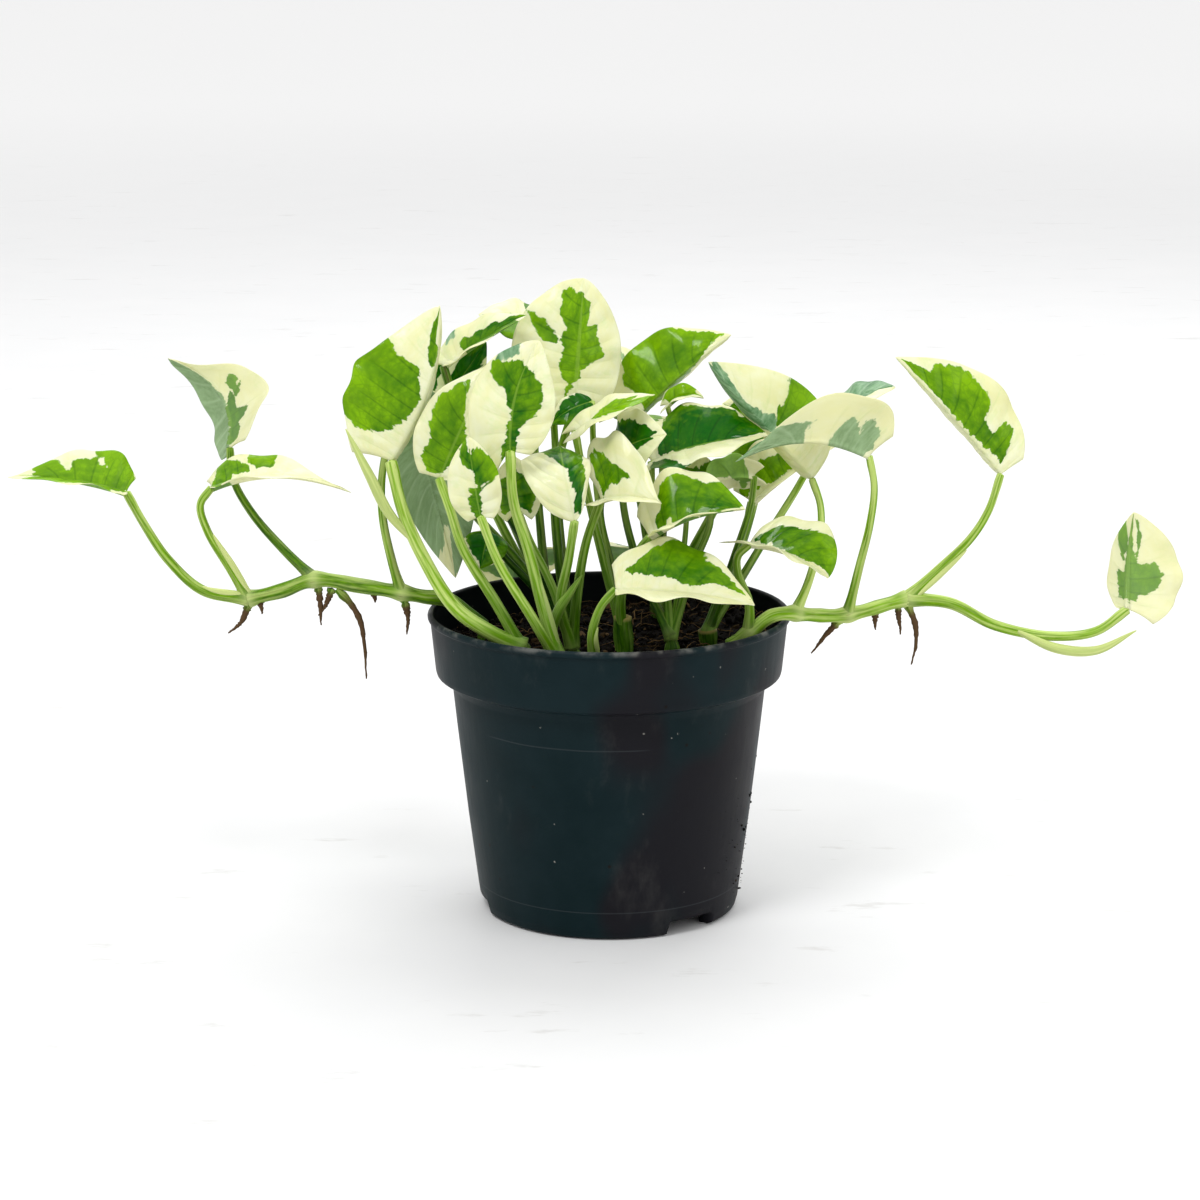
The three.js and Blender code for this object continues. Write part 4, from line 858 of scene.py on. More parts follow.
@dataclass
class Blade:
    """A leaf blade as a thin closed sheet with a raised rib under it, quilted between its side veins."""

    name: str
    plan: Leaf
    number: int
    stem: str
    pattern: Pattern
    rows: int
    columns: int
    thickness: float = 0.5
    quilt: float = 0.3
    ruffle: float = 0.035
    bead: float = 0.75
    groove: float = 0.12
    deepest: float = 8.0

    def length(self) -> float:
        """The straight length in millimetres from the joint to the tip."""
        return np.linalg.norm(self.plan.tip - self.plan.stalk[-1])

    def seed(self) -> int:
        """The number that the blade's noise starts from: the sum of its name's letters."""
        return sum(map(ord, self.name))

    def width(self, across: Array) -> Array:
        """The width in millimetres of the half in which each place lies."""
        return np.where(across < 0, self.plan.left.width, self.plan.right.width)

    def depth(self, along: Array, across: Array, islands: tuple) -> Array:
        """The depth in millimetres inside any of the islands, held between two limits.

        Args:
            along: places along the blade
            across: places across it
            islands: outlines of (along, across) pairs

        Returns:
            a depth for each place
        """
        length = self.length()
        points = np.stack([along.ravel() * length, (across * self.width(across)).ravel()], 1)
        inside = np.full(len(points), -self.deepest)
        for island in islands:
            outline = np.array(island, float)
            outline = np.stack([outline[:, 0] * length, outline[:, 1] * self.width(outline[:, 1])], 1)
            inside = np.maximum(inside, island_depth(points, outline))
        return np.clip(inside, -self.deepest, self.deepest)

    def relief(self, along: Array, across: Array, vein: Array) -> Array:
        """How far the middle surface stands out towards the upper face.

        A cusped ripple is 0 at each side vein and highest between two, and a noise ruffles the edge. Both
        fade towards the tip.

        Args:
            along: places along the blade
            across: places across it
            vein: the count of side veins, whole at each

        Returns:
            heights in millimetres
        """
        reach = np.abs(across)
        fade = smooth(0.04, 0.25, reach) * (1 - smooth(0.7, 1, reach)) * (1 - smooth(0.8, 1, along))
        noise = value_noise(along * 7, across * 2 + 9, self.seed())
        ruffle = noise * reach**2 * self.ruffle * self.width(across)
        quilt = self.quilt * np.abs(np.sin(math.pi * vein)) ** 0.7 * fade
        return quilt + ruffle * (1 - smooth(0.85, 1, along))

    def walls(self, along: Array, across: Array) -> tuple[Array, Array]:
        """How far the upper and the lower face stand off the middle surface.

        Each stands off by half the thickness, which thins towards the edge and the tip. A bell sinks the rib
        above. Below it a bell adds a ridge, which thins from the stalk's width at the joint to nothing at
        the tip.

        Args:
            along: places along the blade
            across: places across it

        Returns:
            the two distances, in millimetres
        """
        reach = np.abs(across)
        beside = reach * self.width(across)
        half = self.thickness / 2 * (1 - 0.7 * smooth(0.85, 1, reach)) * (1 - 0.6 * smooth(0.9, 1, along))
        bead = self.bead * self.plan.thick * (1 - along) ** 0.7
        ridge = bead * bump(beside, 0, 0.35 * bead + 0.3) + 0.1 * bump(beside, 0, 0.5)
        half[-1], ridge[-1] = half[-1, self.columns], 0
        return half - self.groove * bump(beside, 0, 0.6) * (1 - along), half + ridge

    def markings(self, along: Array, across: Array, vein: Array) -> dict:
        """The values that the blade's material reads, for the upper face and then for the lower one.

        Args:
            along: places along the blade
            across: places across it
            vein: the count of side veins, whole at each

        Returns:
            the values by name
        """
        marks, size, seed = self.pattern, along.size, self.seed() % 97
        green, cream, dusk = (self.depth(along, across, m) for m in (marks.green, marks.cream, marks.dusk))
        blade = np.stack([along * self.length(), across * self.width(across), np.full_like(along, seed)], -1)
        return {
            "blade": np.tile(blade.reshape(-1, 3), (2, 1)),
            "green": np.tile(np.minimum(green, -cream).ravel(), 2),
            "dusk": np.tile(dusk.ravel(), 2),
            "vein": np.tile(vein.ravel(), 2),
            "reach": np.tile(np.abs(across).ravel(), 2),
            "tone": np.full(2 * size, marks.tone.value),
            "under": np.r_[np.full(size, marks.under), np.ones(size)],
        }

    def shell(self) -> Shell:
        """The blade's two faces and the wall round its edge.

        Returns:
            the blade
        """
        ahead, aside = np.linspace(0, 1, self.rows) ** 0.85, np.linspace(-1, 1, 2 * self.columns + 1)
        along, across = np.meshgrid(ahead, aside, indexing="ij")
        middle = blade_point(self.plan, self.number, len(self.stem), along, across)
        over, down = np.gradient(middle, axis=1), np.gradient(middle, axis=0)
        normal = unit(np.cross(over, down))
        normal[-1] = unit(normal[-2].mean(0))
        vein = along * self.length() / VEIN_SPACING + 0.5 * (across > 0)
        middle = middle + self.relief(along, across, vein)[..., None] * normal
        above, below = self.walls(along, across)
        top, bottom = middle + above[..., None] * normal, middle - below[..., None] * normal
        rows, columns = along.shape
        size = rows * columns
        index = np.arange(size).reshape(rows, columns)
        loop = np.r_[index[0], index[1:, -1], index[-1, -2::-1], index[-2:0:-1, 0]]
        after = np.roll(loop, -1)
        upper = grid_faces(rows, columns)
        faces = [upper, upper[:, ::-1] + size, np.stack([loop, loop + size, after + size, after], 1)]
        points = np.vstack([top.reshape(-1, 3), bottom.reshape(-1, 3)])
        return Shell(points, faces, self.markings(along, across, vein))

    def build(self, material: Material) -> Piece:
        """The finished blade, in place of its node."""
        name = self.name.replace("leaf", "blade")
        return piece(name, self.shell(), material, self.name)


@dataclass
class Stem:
    """A leafy stem: its foot, its creeping stem with its joints, its leaf stalks, its roots and sheaths."""

    name: str
    foot: list
    leaves: list
    radius: float = 3.2
    stem: list = field(default_factory=list)
    roots: list = field(default_factory=list)
    sheaths: list = field(default_factory=list)
    stump: float = 0.0
    tone: float = USUAL_TONE
    foot_bottom: float = 84.0
    foot_top: float = 103.0
    root_radius: float = 1.7
    sheath_radius: float = 1.9

    def stalk(self, plan: Leaf, number: int) -> Shell:
        """A leaf stalk: a grooved tube that thins by the square root of its length, wide at its foot.

        A bell at the upper end swells it where it meets the blade.

        Args:
            plan: the leaf
            number: the leaf's number on the stem, which varies its green

        Returns:
            the stalk
        """
        steps = 44
        points = smooth_route(plan.stalk, steps)
        t = np.linspace(0, 1, steps + 1)
        length = np.linalg.norm(np.diff(points, axis=0), axis=1).sum()
        radius = plan.thick * (1.15 - 0.43 * np.sqrt(t))
        radius = radius * (1 + 0.3 * bump(t * length, 0, 5) + 0.12 * bump((1 - t) * length, 3, 3))
        tone = np.clip(self.tone + 0.25 * math.sin(2.1 * number + len(self.name)) + 0.2 * t, 0, 1)
        return tube(points, radius, 14, {"tone": tone, "joint": bump(t * length, 0, 3)}, groove=0.22)

    def root(self, route: list, number: int) -> Shell:
        """An aerial root: a tube that thins to a point, with a slight random bend and swelling.

        Args:
            route: the root's points
            number: the root's number, which its random draws start from

        Returns:
            the root
        """
        steps = 26
        points = smooth_route(np.array(route, float), steps)
        t = np.linspace(0, 1, steps + 1)
        draw = np.random.default_rng(number + len(self.name))
        points = points + np.cumsum(draw.normal(0, 0.09, points.shape), 0) * t[:, None]
        radius = self.root_radius * (1 - 0.85 * t**0.8) * (1 + 0.12 * draw.normal(0, 1, steps + 1))
        return tube(points, np.maximum(radius, 0.2), 9, {"bark": smooth(0.0, 0.25, t), "tone": self.tone})

    def sheath(self, route: list, paper: float = 0.8) -> Shell:
        """A sheath: a spindle whose radius follows the sine of its length, dry where it is papery.

        Args:
            route: the sheath's points
            paper: how dry and papery it is, from 0 to 1

        Returns:
            the sheath
        """
        steps = 30
        points = smooth_route(np.array(route, float), steps)
        t = np.linspace(0, 1, steps + 1)
        radius = self.sheath_radius * np.sin(math.pi * (0.12 + 0.86 * t)) ** 0.8
        return tube(points, radius, 12, {"tone": 0.75 + 0.25 * t, "paper": paper}, groove=0.5)

    def wing(self, number: int, reach: float) -> Shell:
        """The dry wing that clasps the lower part of a leaf stalk: a thin spindle beside its route.

        Args:
            number: the leaf's place in the stem's list
            reach: how much of the stalk it clasps, from 0 to 1

        Returns:
            the wing
        """
        steps = 60
        points = smooth_route(self.leaves[number].stalk, steps)[: int(steps * reach)]
        beside = unit(np.cross(np.gradient(points, axis=0), [0.0, -1.0, 0.0]))
        points = points + beside * 1.5 + np.array([0.0, -0.9, 0.0])
        t = np.linspace(0, 1, len(points))
        radius = 0.2 + 1.0 * np.sin(math.pi * np.clip(0.1 + 0.9 * t, 0, 1)) ** 0.7
        return tube(points, radius, 10, {"tone": 0.8 + 0.2 * t, "paper": 1.0}, groove=0.6)

    def creeper(self) -> Shell:
        """The creeping stem: a thick tube with a ring-shaped swelling at each of its joints.

        Returns:
            the creeping stem
        """
        points = smooth_route(np.array(self.stem, float), 120)
        gaps = np.array([np.linalg.norm(points - plan.stalk[0], axis=1) for plan in self.leaves])
        gap = gaps[gaps.min(1) < 4].min(0)
        radius = self.radius * (0.96 + 0.2 * bump(gap, 0, 2.6) - 0.1 * bump(gap, 6, 4))
        return tube(points, radius, 22, {"tone": self.tone, "joint": bump(gap, 0, 2.2)})

    def stock(self) -> Shell:
        """The upright foot that the stalks grow from, with a slightly wavy radius and a cut top if a stump.

        Returns:
            the foot
        """
        x, y = self.foot
        steps, bottom, top = 20, self.foot_bottom, self.stump or self.foot_top
        z = np.linspace(bottom, top, steps)
        points = np.stack([x + 0.3 * np.sin(z / 3), y + 0.3 * np.cos(z / 4), z], 1)
        t = (z - bottom) / (top - bottom)
        close = 1 if self.stump else np.sqrt(np.clip(1.02 - smooth(0.75, 1, t) * 0.8, 0, 1))
        radius = self.radius * (0.95 + 0.06 * np.sin(z / 2)) * close
        cut_top = (t > 0.99) * (self.stump > 0) * 1.0
        return tube(points, radius, 18, {"tone": self.tone * 0.6, "cut": cut_top})

    def build(self, material: Material) -> Piece:
        """The finished stem, in place of its node.

        Args:
            material: the stems' material

        Returns:
            the object
        """
        shells = [self.stock(), *(self.stalk(plan, i) for i, plan in enumerate(self.leaves))]
        shells += [self.root(route, i) for i, route in enumerate(self.roots)]
        shells += [self.sheath(route) for route in self.sheaths]
        shells += [self.sheath(route, 0.1) for route in NEW_SHOOTS.get(self.name, ())]
        shells += [self.wing(*clasp) for clasp in CLASPS.get(self.name, ())]
        if self.stem:
            shells.append(self.creeper())
        return piece("stems_" + self.name, joined(shells), material, self.name)


@dataclass
class Pot:
    """The nursery pot: a turned shell with a hollow band, a rolled lip, foot notches and drain holes."""

    rim: float = 65.0
    height: float = 109.0
    foot: float = 46.5
    wall_top: float = 56.2
    band_foot: float = 62.0
    band_top: float = 64.0
    band: float = 23.0
    wall: float = 1.1
    floor: float = 7.0
    floor_thick: float = 1.4
    pad: float = 6.0
    ring: float = 6.0
    bend: float = 0.45
    sides: int = 288
    notches: int = 3
    notch_height: float = 5.5
    notch_width: float = 20.0
    first_notch: float = 39.0
    notch_start: float = 30.0
    drains: int = 6
    drain_ring: float = 30.0
    drain: float = 4.5

    def profile(self) -> Array:
        """The outline as pairs of radius and height, from the middle of the foot to that of the floor.

        It runs out over a middle pad, the floor's underside and the foot ring, up the tapered wall and the
        band, round the lip, and down inside them.

        Returns:
            the outline
        """
        foot, top, hem, rim = self.foot, self.wall_top, self.band_foot, self.rim
        edge, height, wall = self.height - self.band, self.height, self.wall
        under, ring, low, high = self.floor - self.floor_thick, foot - self.ring, edge * 0.4, edge * 0.78
        underside = [
            (0, 0), (self.pad, 0), (self.pad + 1, under), (foot - 1.6, under), (foot - 2.6, 1.6),
            (ring, 1.6), (ring, 0), (foot - 2.4, 0),
        ]
        outside = [
            (foot - 0.5, 0.9), (foot + 0.4, 4), (foot + 1.0, 9), (foot + 4.3, low), (top - 1.6, high),
            (top, edge - 4), (top + 1.0, edge - 1.4), (hem - 2.0, edge),
            (hem - 0.2, edge + 0.6), (hem + 0.2, edge + 2.2), (self.band_top, height - 3),
        ]
        lip = [
            (self.band_top + 0.2, height - 2.6), (rim - 0.1, height - 2.2), (rim, height - 1),
            (rim - 0.6, height - 0.1), (rim - 1.4, height), (rim - 2.1, height - 0.5),
        ]
        inside = [
            (self.band_top - wall, height - 3), (hem - wall, edge + 3), (hem - 3, edge + 1.6),
            (top - 0.4, edge + 0.2), (top - wall, edge - 3), (foot + 4.3 - wall, low),
            (foot + 0.4 - wall, self.floor), (0, self.floor),
        ]
        return self.rounded(np.array(underside + outside + lip + inside, float), self.bend)

    def rounded(self, corners: Array, reach: float) -> Array:
        """Every inner corner replaced by five points of a quadratic curve that leaves its sides near it.

        Args:
            corners: the outline's corners
            reach: how far from a corner its curve starts

        Returns:
            the rounded outline
        """
        before, here, after = corners[:-2], corners[1:-1], corners[2:]
        sides = [other - here for other in (before, after)]
        cuts = [np.minimum(reach, np.linalg.norm(side, axis=1) / 2.2)[:, None] for side in sides]
        a, b = ((here + unit(side) * cut)[:, None] for side, cut in zip(sides, cuts))
        t = np.linspace(0, 1, 5)[None, :, None]
        bends = (1 - t) ** 2 * a + 2 * t * (1 - t) * here[:, None] + t * t * b
        return np.vstack([corners[:1], bends.reshape(-1, 2), corners[-1:]])

    def shell(self) -> Shell:
        """The outline carried round the axis. In each notch the foot ring is drawn up into the wall above.

        A slow noise, which grows with height, takes the wall a little out of round.

        Returns:
            the pot without its drain holes
        """
        outline = self.profile()
        turn = np.linspace(0, 2 * math.pi, self.sides, endpoint=False)
        radius, z = (np.repeat(outline[:, k : k + 1], self.sides, 1) for k in (0, 1))
        step = 360 / self.notches
        from_notch = (np.degrees(turn) - self.first_notch + step / 2) % step - step / 2
        beside = np.abs(np.radians(from_notch)) * self.foot
        cut = 1 - smooth(self.notch_width / 2 - 0.35, self.notch_width / 2 + 0.35, beside)
        outer = radius > self.notch_start
        drawn = np.where(outer & (z < self.notch_height), cut[None], 0)
        z = z + drawn * (self.notch_height - z)
        radius = radius + drawn * (np.maximum(radius, self.foot - 1.6) - radius)
        belly = 0.18 * value_noise(np.cos(turn) * 2 + 5, np.sin(turn) * 2 + 5, 4)[None] * smooth(20, 80, z)
        radius = radius + np.where(radius > self.notch_start, belly, 0)
        points = np.stack([radius * np.sin(turn), -radius * np.cos(turn), z], -1).reshape(-1, 3)
        return Shell(points, [grid_faces(len(outline), self.sides, around=True)], {})

    def build(self, material: Material) -> Piece:
        """The finished pot, in place of its node, with its drain holes cut through the floor.

        Args:
            material: the pot's material

        Returns:
            the object
        """
        obj = piece("nursery_pot", self.shell(), material, "pot")
        weld(obj)
        turn = np.arange(self.drains) * 2 * math.pi / self.drains
        z = np.linspace(self.floor - 4, self.floor + 3, 3)
        for k, (x, y) in enumerate(zip(self.drain_ring * np.cos(turn), self.drain_ring * np.sin(turn))):
            bar = tube(np.stack([x + 0 * z, y + 0 * z, z], 1), np.full(len(z), self.drain), 28)
            cut(obj, bar, f"drain_{k}")
        weld(obj)
        return obj


def weld(obj: Piece) -> None:
    """Joins vertices that share a place, which closes seams and poles.

    Args:
        obj: the piece
    """
    work = bmesh.new()
    work.from_mesh(obj.data)
    bmesh.ops.remove_doubles(work, verts=work.verts, dist=1e-7)
    work.to_mesh(obj.data)
    work.free()


def cut(obj: Piece, tool: Shell, name: str) -> None:
    """Takes a closed shell away from a piece with a Boolean modifier, which is applied.

    Args:
        obj: the piece
        tool: the shell to take away
        name: a name for the tool's mesh
    """
    mesh = bpy.data.meshes.new(name)
    faces = [corners.tolist() for part in tool.faces for corners in part]
    mesh.from_pydata((tool.points * MM).tolist(), [], faces)
    cutter = bpy.data.objects.new(name, mesh)
    bpy.context.scene.collection.objects.link(cutter)
    boolean = obj.modifiers.new(name, "BOOLEAN")
    boolean.operation, boolean.solver, boolean.object = "DIFFERENCE", "EXACT", cutter
    bpy.context.view_layer.update()
    solid = bpy.data.meshes.new_from_object(obj.evaluated_get(bpy.context.evaluated_depsgraph_get()))
    obj.modifiers.clear()
    obj.data = solid
    bpy.data.objects.remove(cutter)


@dataclass
class Soil:
    """The peat: its lumpy surface, the crumbs and chips that lie on it, and fine pale roots and fibres."""

    level: float = 98.0
    edge: float = 61.2
    rings: int = 90
    sides: int = 240
    heap: float = 6.0
    dip: float = 3.0
    floor: float = 7.6
    floor_edge: float = 45.5
    ledge: float = 83.0
    ledge_edge: float = 54.0
    crumbs: int = 3600
    chips: int = 90
    fibres: int = 210
    clinging: int = 110
    wall_foot: float = 47.3
    wall_taper: float = 0.103

    def height(self, x: Array, y: Array) -> Array:
        """The surface: a heap that grows as a cube to the right and back, a dip at the back left, and noise.

        Args:
            x: places to the right
            y: places to the back

        Returns:
            heights
        """
        heap = np.maximum(0, 0.75 * x + 0.66 * y) / 65
        dip = np.maximum(0, 0.7 * y - 0.7 * x) / 65
        base = self.level + self.heap * heap**3 - self.dip * dip**2 + 0.5 * np.sin(x / 7) * np.cos(y / 6)
        clods = 0.7 * value_noise(x / 4 + 20, y / 4 + 20, 1)
        return base + clods + 0.45 * value_noise(x / 1.6 + 30, y / 1.6 + 30, 2)

    def surface(self) -> Shell:
        """A disc of rings under the height formula, whose edge runs down the band and the wall to the floor.

        Returns:
            the body of peat
        """
        heart = 0.4
        turn = np.linspace(0, 2 * math.pi, self.sides, endpoint=False)
        below = [(self.edge - 0.2, 90.5), (self.ledge_edge, self.ledge), (self.floor_edge, self.floor)]
        radii, levels = np.array([*below, (heart, self.floor)]).T
        r = np.r_[np.linspace(heart, self.edge, self.rings), radii]
        x, y = r[:, None] * np.cos(turn), r[:, None] * np.sin(turn)
        z = self.height(x, y)
        z[self.rings :] = levels[:, None]
        points = np.stack([x, y, z], -1).reshape(-1, 3)
        ring = np.arange(self.sides)[None]
        sheet = grid_faces(len(r), self.sides, around=True)[:, ::-1]
        faces = [sheet, ring, ring[:, ::-1] + (len(r) - 1) * self.sides]
        return Shell(points, faces, {"shade": np.full(len(points), 0.3)})

    def scattered(self, count: int, low: float, high: float, flat: float, seed: int, shade: tuple) -> Shell:
        """Small rough lumps: copies of one 12-cornered ball, each with random corners, turn, size and place.

        Sizes follow a high power of a random number, so most are small, and places fill the disc evenly.

        Args:
            count: how many lumps
            low: the smallest radius
            high: the largest radius
            flat: height as a share of width
            seed: the number that the draws start from
            shade: the range of their shades

        Returns:
            the lumps
        """
        draw = np.random.default_rng(seed)
        g = (1 + 5**0.5) / 2
        base = unit(np.array([
            [-1, g, 0], [1, g, 0], [-1, -g, 0], [1, -g, 0], [0, -1, g], [0, 1, g],
            [0, -1, -g], [0, 1, -g], [g, 0, -1], [g, 0, 1], [-g, 0, -1], [-g, 0, 1],
        ]))
        triangles = np.array([
            [0, 11, 5], [0, 5, 1], [0, 1, 7], [0, 7, 10], [0, 10, 11], [1, 5, 9], [5, 11, 4], [11, 10, 2],
            [10, 7, 6], [7, 1, 8], [3, 9, 4], [3, 4, 2], [3, 2, 6], [3, 6, 8], [3, 8, 9], [4, 9, 5],
            [2, 4, 11], [6, 2, 10], [8, 6, 7], [9, 8, 1],
        ])
        corners = len(base)
        size = low + (high - low) * draw.uniform(0, 1, count) ** 4
        shape = base * (1 + draw.uniform(-0.35, 0.35, (count, corners, 1)))
        squash = np.stack([np.ones(count), draw.uniform(0.5, 1, count), np.full(count, flat)], 1)
        shape = shape * squash[:, None]
        turns, _ = np.linalg.qr(draw.normal(0, 1, (count, 3, 3)) + 1.4 * (flat < 0.6) * np.eye(3))
        turns *= np.sign(np.linalg.det(turns))[:, None, None]
        shape = np.einsum("nij,nkj->nki", turns, shape) * size[:, None, None]
        r, a = (self.edge - 1.5) * np.sqrt(draw.uniform(0, 1, count)), draw.uniform(0, 2 * math.pi, count)
        x, y = r * np.cos(a), r * np.sin(a)
        place = np.stack([x, y, self.height(x, y) + 0.25 * size * flat], 1)
        points = (shape + place[:, None]).reshape(-1, 3)
        faces = (triangles[None] + corners * np.arange(count)[:, None, None]).reshape(-1, 3)
        return Shell(points, [faces], {"shade": np.repeat(draw.uniform(*shade, count), corners)})

    def stuck(self) -> Shell:
        """Crumbs that cling to the pot's right side, on a wall whose radius grows evenly with height.

        Returns:
            the crumbs
        """
        count = self.clinging
        lumps = self.scattered(count, 0.18, 0.75, 0.6, 8, (0.1, 0.6))
        draw = np.random.default_rng(9)
        turn, z = np.radians(draw.normal(76, 16, count)), 6 + 78 * draw.uniform(0, 1, count) ** 1.3
        r = self.wall_foot + self.wall_taper * z
        shapes = lumps.points.reshape(count, -1, 3)
        place = np.stack([r * np.sin(turn), -r * np.cos(turn), z], 1)[:, None]
        moved = shapes - shapes.mean(1)[:, None] + place
        return Shell(moved.reshape(-1, 3), lumps.faces, lumps.values)

    def threads(self) -> Shell:
        """Fine fibres: four-sided tubes on short arcs that lie over the surface, most to the right and back.

        Returns:
            the fibres
        """
        steps = 8
        draw = np.random.default_rng(11)
        t = np.linspace(0, 1, steps + 1)
        strands = []
        for _ in range(self.fibres):
            angle = draw.normal(0.75, 1.5)
            r = self.edge * draw.uniform(0.05, 0.95) ** 0.6
            x, y = r * math.cos(angle), r * math.sin(angle)
            length, way, bend = draw.uniform(4, 15), draw.uniform(0, 6.3), draw.normal(0, 1.2)
            direction = way + bend * t
            step = length / steps
            px, py = x + np.cumsum(np.cos(direction)) * step, y + np.cumsum(np.sin(direction)) * step
            inside = np.minimum(1, (self.edge - 1) / np.hypot(px, py))
            px, py = px * inside, py * inside
            z = self.height(px, py) + 0.3 + draw.uniform(0, 1.8) * np.sin(math.pi * t)
            radius = draw.uniform(0.12, 0.3) * (1 - 0.6 * t)
            strands.append(tube(np.stack([px, py, z], 1), radius, 4, {"shade": draw.uniform(0.45, 1.0)}))
        return joined(strands)

    def build(self, material: Material) -> None:
        """The peat surface in place of its node, and its crumbs, chips and fibres as pieces of their own.

        Args:
            material: the peat's material
        """
        weld(piece("peat", self.surface(), material, "soil"))
        loose = {
            "peat_crumbs": self.scattered(self.crumbs, 0.3, 1.9, 0.8, 5, (0.0, 0.5)),
            "bark_chips": self.scattered(self.chips, 1.2, 3.2, 0.3, 6, (0.5, 1.0)),
            "peat_fibres": self.threads(),
            "clinging_crumbs": self.stuck(),
        }
        for name, shell in loose.items():
            piece(name, shell, material)


class Graph:
    """A material's or a group's node tree, with short ways to add and join its nodes."""

    def __init__(self, tree: Tree) -> None:
        """Keeps the empty tree to fill."""
        self.tree = tree

    def node(self, kind: str, inputs: dict | None = None, **settings: object) -> Node:
        """Adds a node.

        Args:
            kind: the node's type after ShaderNode
            inputs: values or sockets by input name or number
            settings: the node's own properties

        Returns:
            the node
        """
        made = self.tree.nodes.new("ShaderNode" + kind)
        for key, value in settings.items():
            setattr(made, key, value)
        for key, value in (inputs or {}).items():
            self.feed(made.inputs[key], value)
        return made

    def feed(self, socket: Socket, value: object) -> None:
        """Links a socket to an input, or sets the input's own value.

        Args:
            socket: the input
            value: a socket, or the value to set
        """
        if isinstance(value, Socket):
            self.tree.links.new(value, socket)
        else:
            socket.default_value = value

    def math(self, operation: str, *values: object) -> Socket:
        """The result of a Math node on up to three numbers or sockets."""
        return self.node("Math", dict(enumerate(values)), operation=operation).outputs[0]

    def times(self, a: object, b: object) -> Socket:
        """The product of two numbers or sockets."""
        return self.math("MULTIPLY", a, b)

    def plus(self, a: object, b: object) -> Socket:
        """The sum of two numbers or sockets."""
        return self.math("ADD", a, b)

    def minus(self, a: object, b: object) -> Socket:
        """The difference of two numbers or sockets."""
        return self.math("SUBTRACT", a, b)

    def mask(self, value: object, low: float, high: float) -> Socket:
        """0 at low, 1 at high, and a smooth step between them, whichever of the two is greater.

        Args:
            value: a number or socket
            low: where the step starts
            high: where it ends

        Returns:
            the mask
        """
        inputs = {"Value": value, "From Min": low, "From Max": high}
        return self.node("MapRange", inputs, interpolation_type="SMOOTHSTEP").outputs[0]

    def near(self, value: object, centre: float, width: float) -> Socket:
        """1 where a value is the centre, falling to 0 where it is a width away."""
        return self.mask(self.math("ABSOLUTE", self.minus(value, centre)), width, 0.0)

    def mix(self, amount: object, a: object, b: object, how: str = "MIX") -> Socket:
        """Two colours mixed by an amount from 0 to 1.

        Args:
            amount: how much of b
            a: a colour or socket
            b: a colour or socket
            how: the Mix node's blend type

        Returns:
            the mixed colour
        """
        made = self.node("Mix", {0: amount}, data_type="RGBA", blend_type=how)
        for number, value in ((6, a), (7, b)):
            self.feed(made.inputs[number], value if isinstance(value, Socket) else (*value, 1.0))
        return made.outputs[2]

    def tinted(self, colour: object, tint: tuple) -> Socket:
        """A colour multiplied by a tint."""
        return self.mix(1.0, colour, tint, "MULTIPLY")

    def stored(self, name: str, output: str = "Fac") -> Socket:
        """A value stored on the mesh."""
        return self.node("Attribute", attribute_name=name).outputs[output]

    def place(self) -> Socket:
        """The place on the piece, in metres."""
        return self.node("TexCoord").outputs["Object"]

    def noise(self, vector: object, scale: float, detail: float = 3.0, roughness: float = 0.55) -> Socket:
        """Noise from 0 to 1."""
        inputs = {"Vector": vector, "Scale": scale, "Detail": detail, "Roughness": roughness}
        return self.node("TexNoise", inputs).outputs[0]

    def stretched(self, vector: object, x: float, y: float, z: float = 1.0) -> Socket:
        """A vector with each part multiplied."""
        return self.node("VectorMath", {0: vector, 1: (x, y, z)}, operation="MULTIPLY").outputs[0]

    def length(self, vector: object) -> Socket:
        """A vector's length."""
        return self.node("VectorMath", {0: vector}, operation="LENGTH").outputs["Value"]

    def height(self, place: object) -> Socket:
        """A place's height above the floor, in metres."""
        return self.node("SeparateXYZ", {0: place}).outputs[2]

    def from_axis(self, place: object) -> Socket:
        """A place's distance from the pot's axis: the length of what is left of it without its height."""
        return self.length(self.stretched(place, 1.0, 1.0, 0.0))

    def relief(self, height: object, strength: float, distance: float) -> Socket:
        """The normal that a height gives, where a height of 1 stands for the distance in metres."""
        inputs = {"Strength": strength, "Distance": distance, "Height": height}
        return self.node("Bump", inputs).outputs[0]

    def surface(self, colour: object, rough: object, normal: object, specular: float) -> None:
        """Ends the graph with one opaque shader.

        Args:
            colour: its colour
            rough: its roughness
            normal: its normal
            specular: its specular level
        """
        inputs = {"Base Color": colour, "Roughness": rough, "Normal": normal, "Specular IOR Level": specular}
        skin = self.node("BsdfPrincipled", inputs)
        self.node("OutputMaterial", {"Surface": skin.outputs[0]})


def group(name: str, inputs: dict, outputs: dict) -> tuple[Graph, Node, Node]:
    """A new shader node group with its named sockets.

    Args:
        name: the group's name
        inputs: socket kinds by name, after NodeSocket
        outputs: the same for what it puts out

    Returns:
        its graph, its input node and its output node
    """
    tree = bpy.data.node_groups.new(name, "ShaderNodeTree")
    for kinds, way in ((inputs, "INPUT"), (outputs, "OUTPUT")):
        for key, kind in kinds.items():
            tree.interface.new_socket(key, in_out=way, socket_type="NodeSocket" + kind)
    return Graph(tree), tree.nodes.new("NodeGroupInput"), tree.nodes.new("NodeGroupOutput")


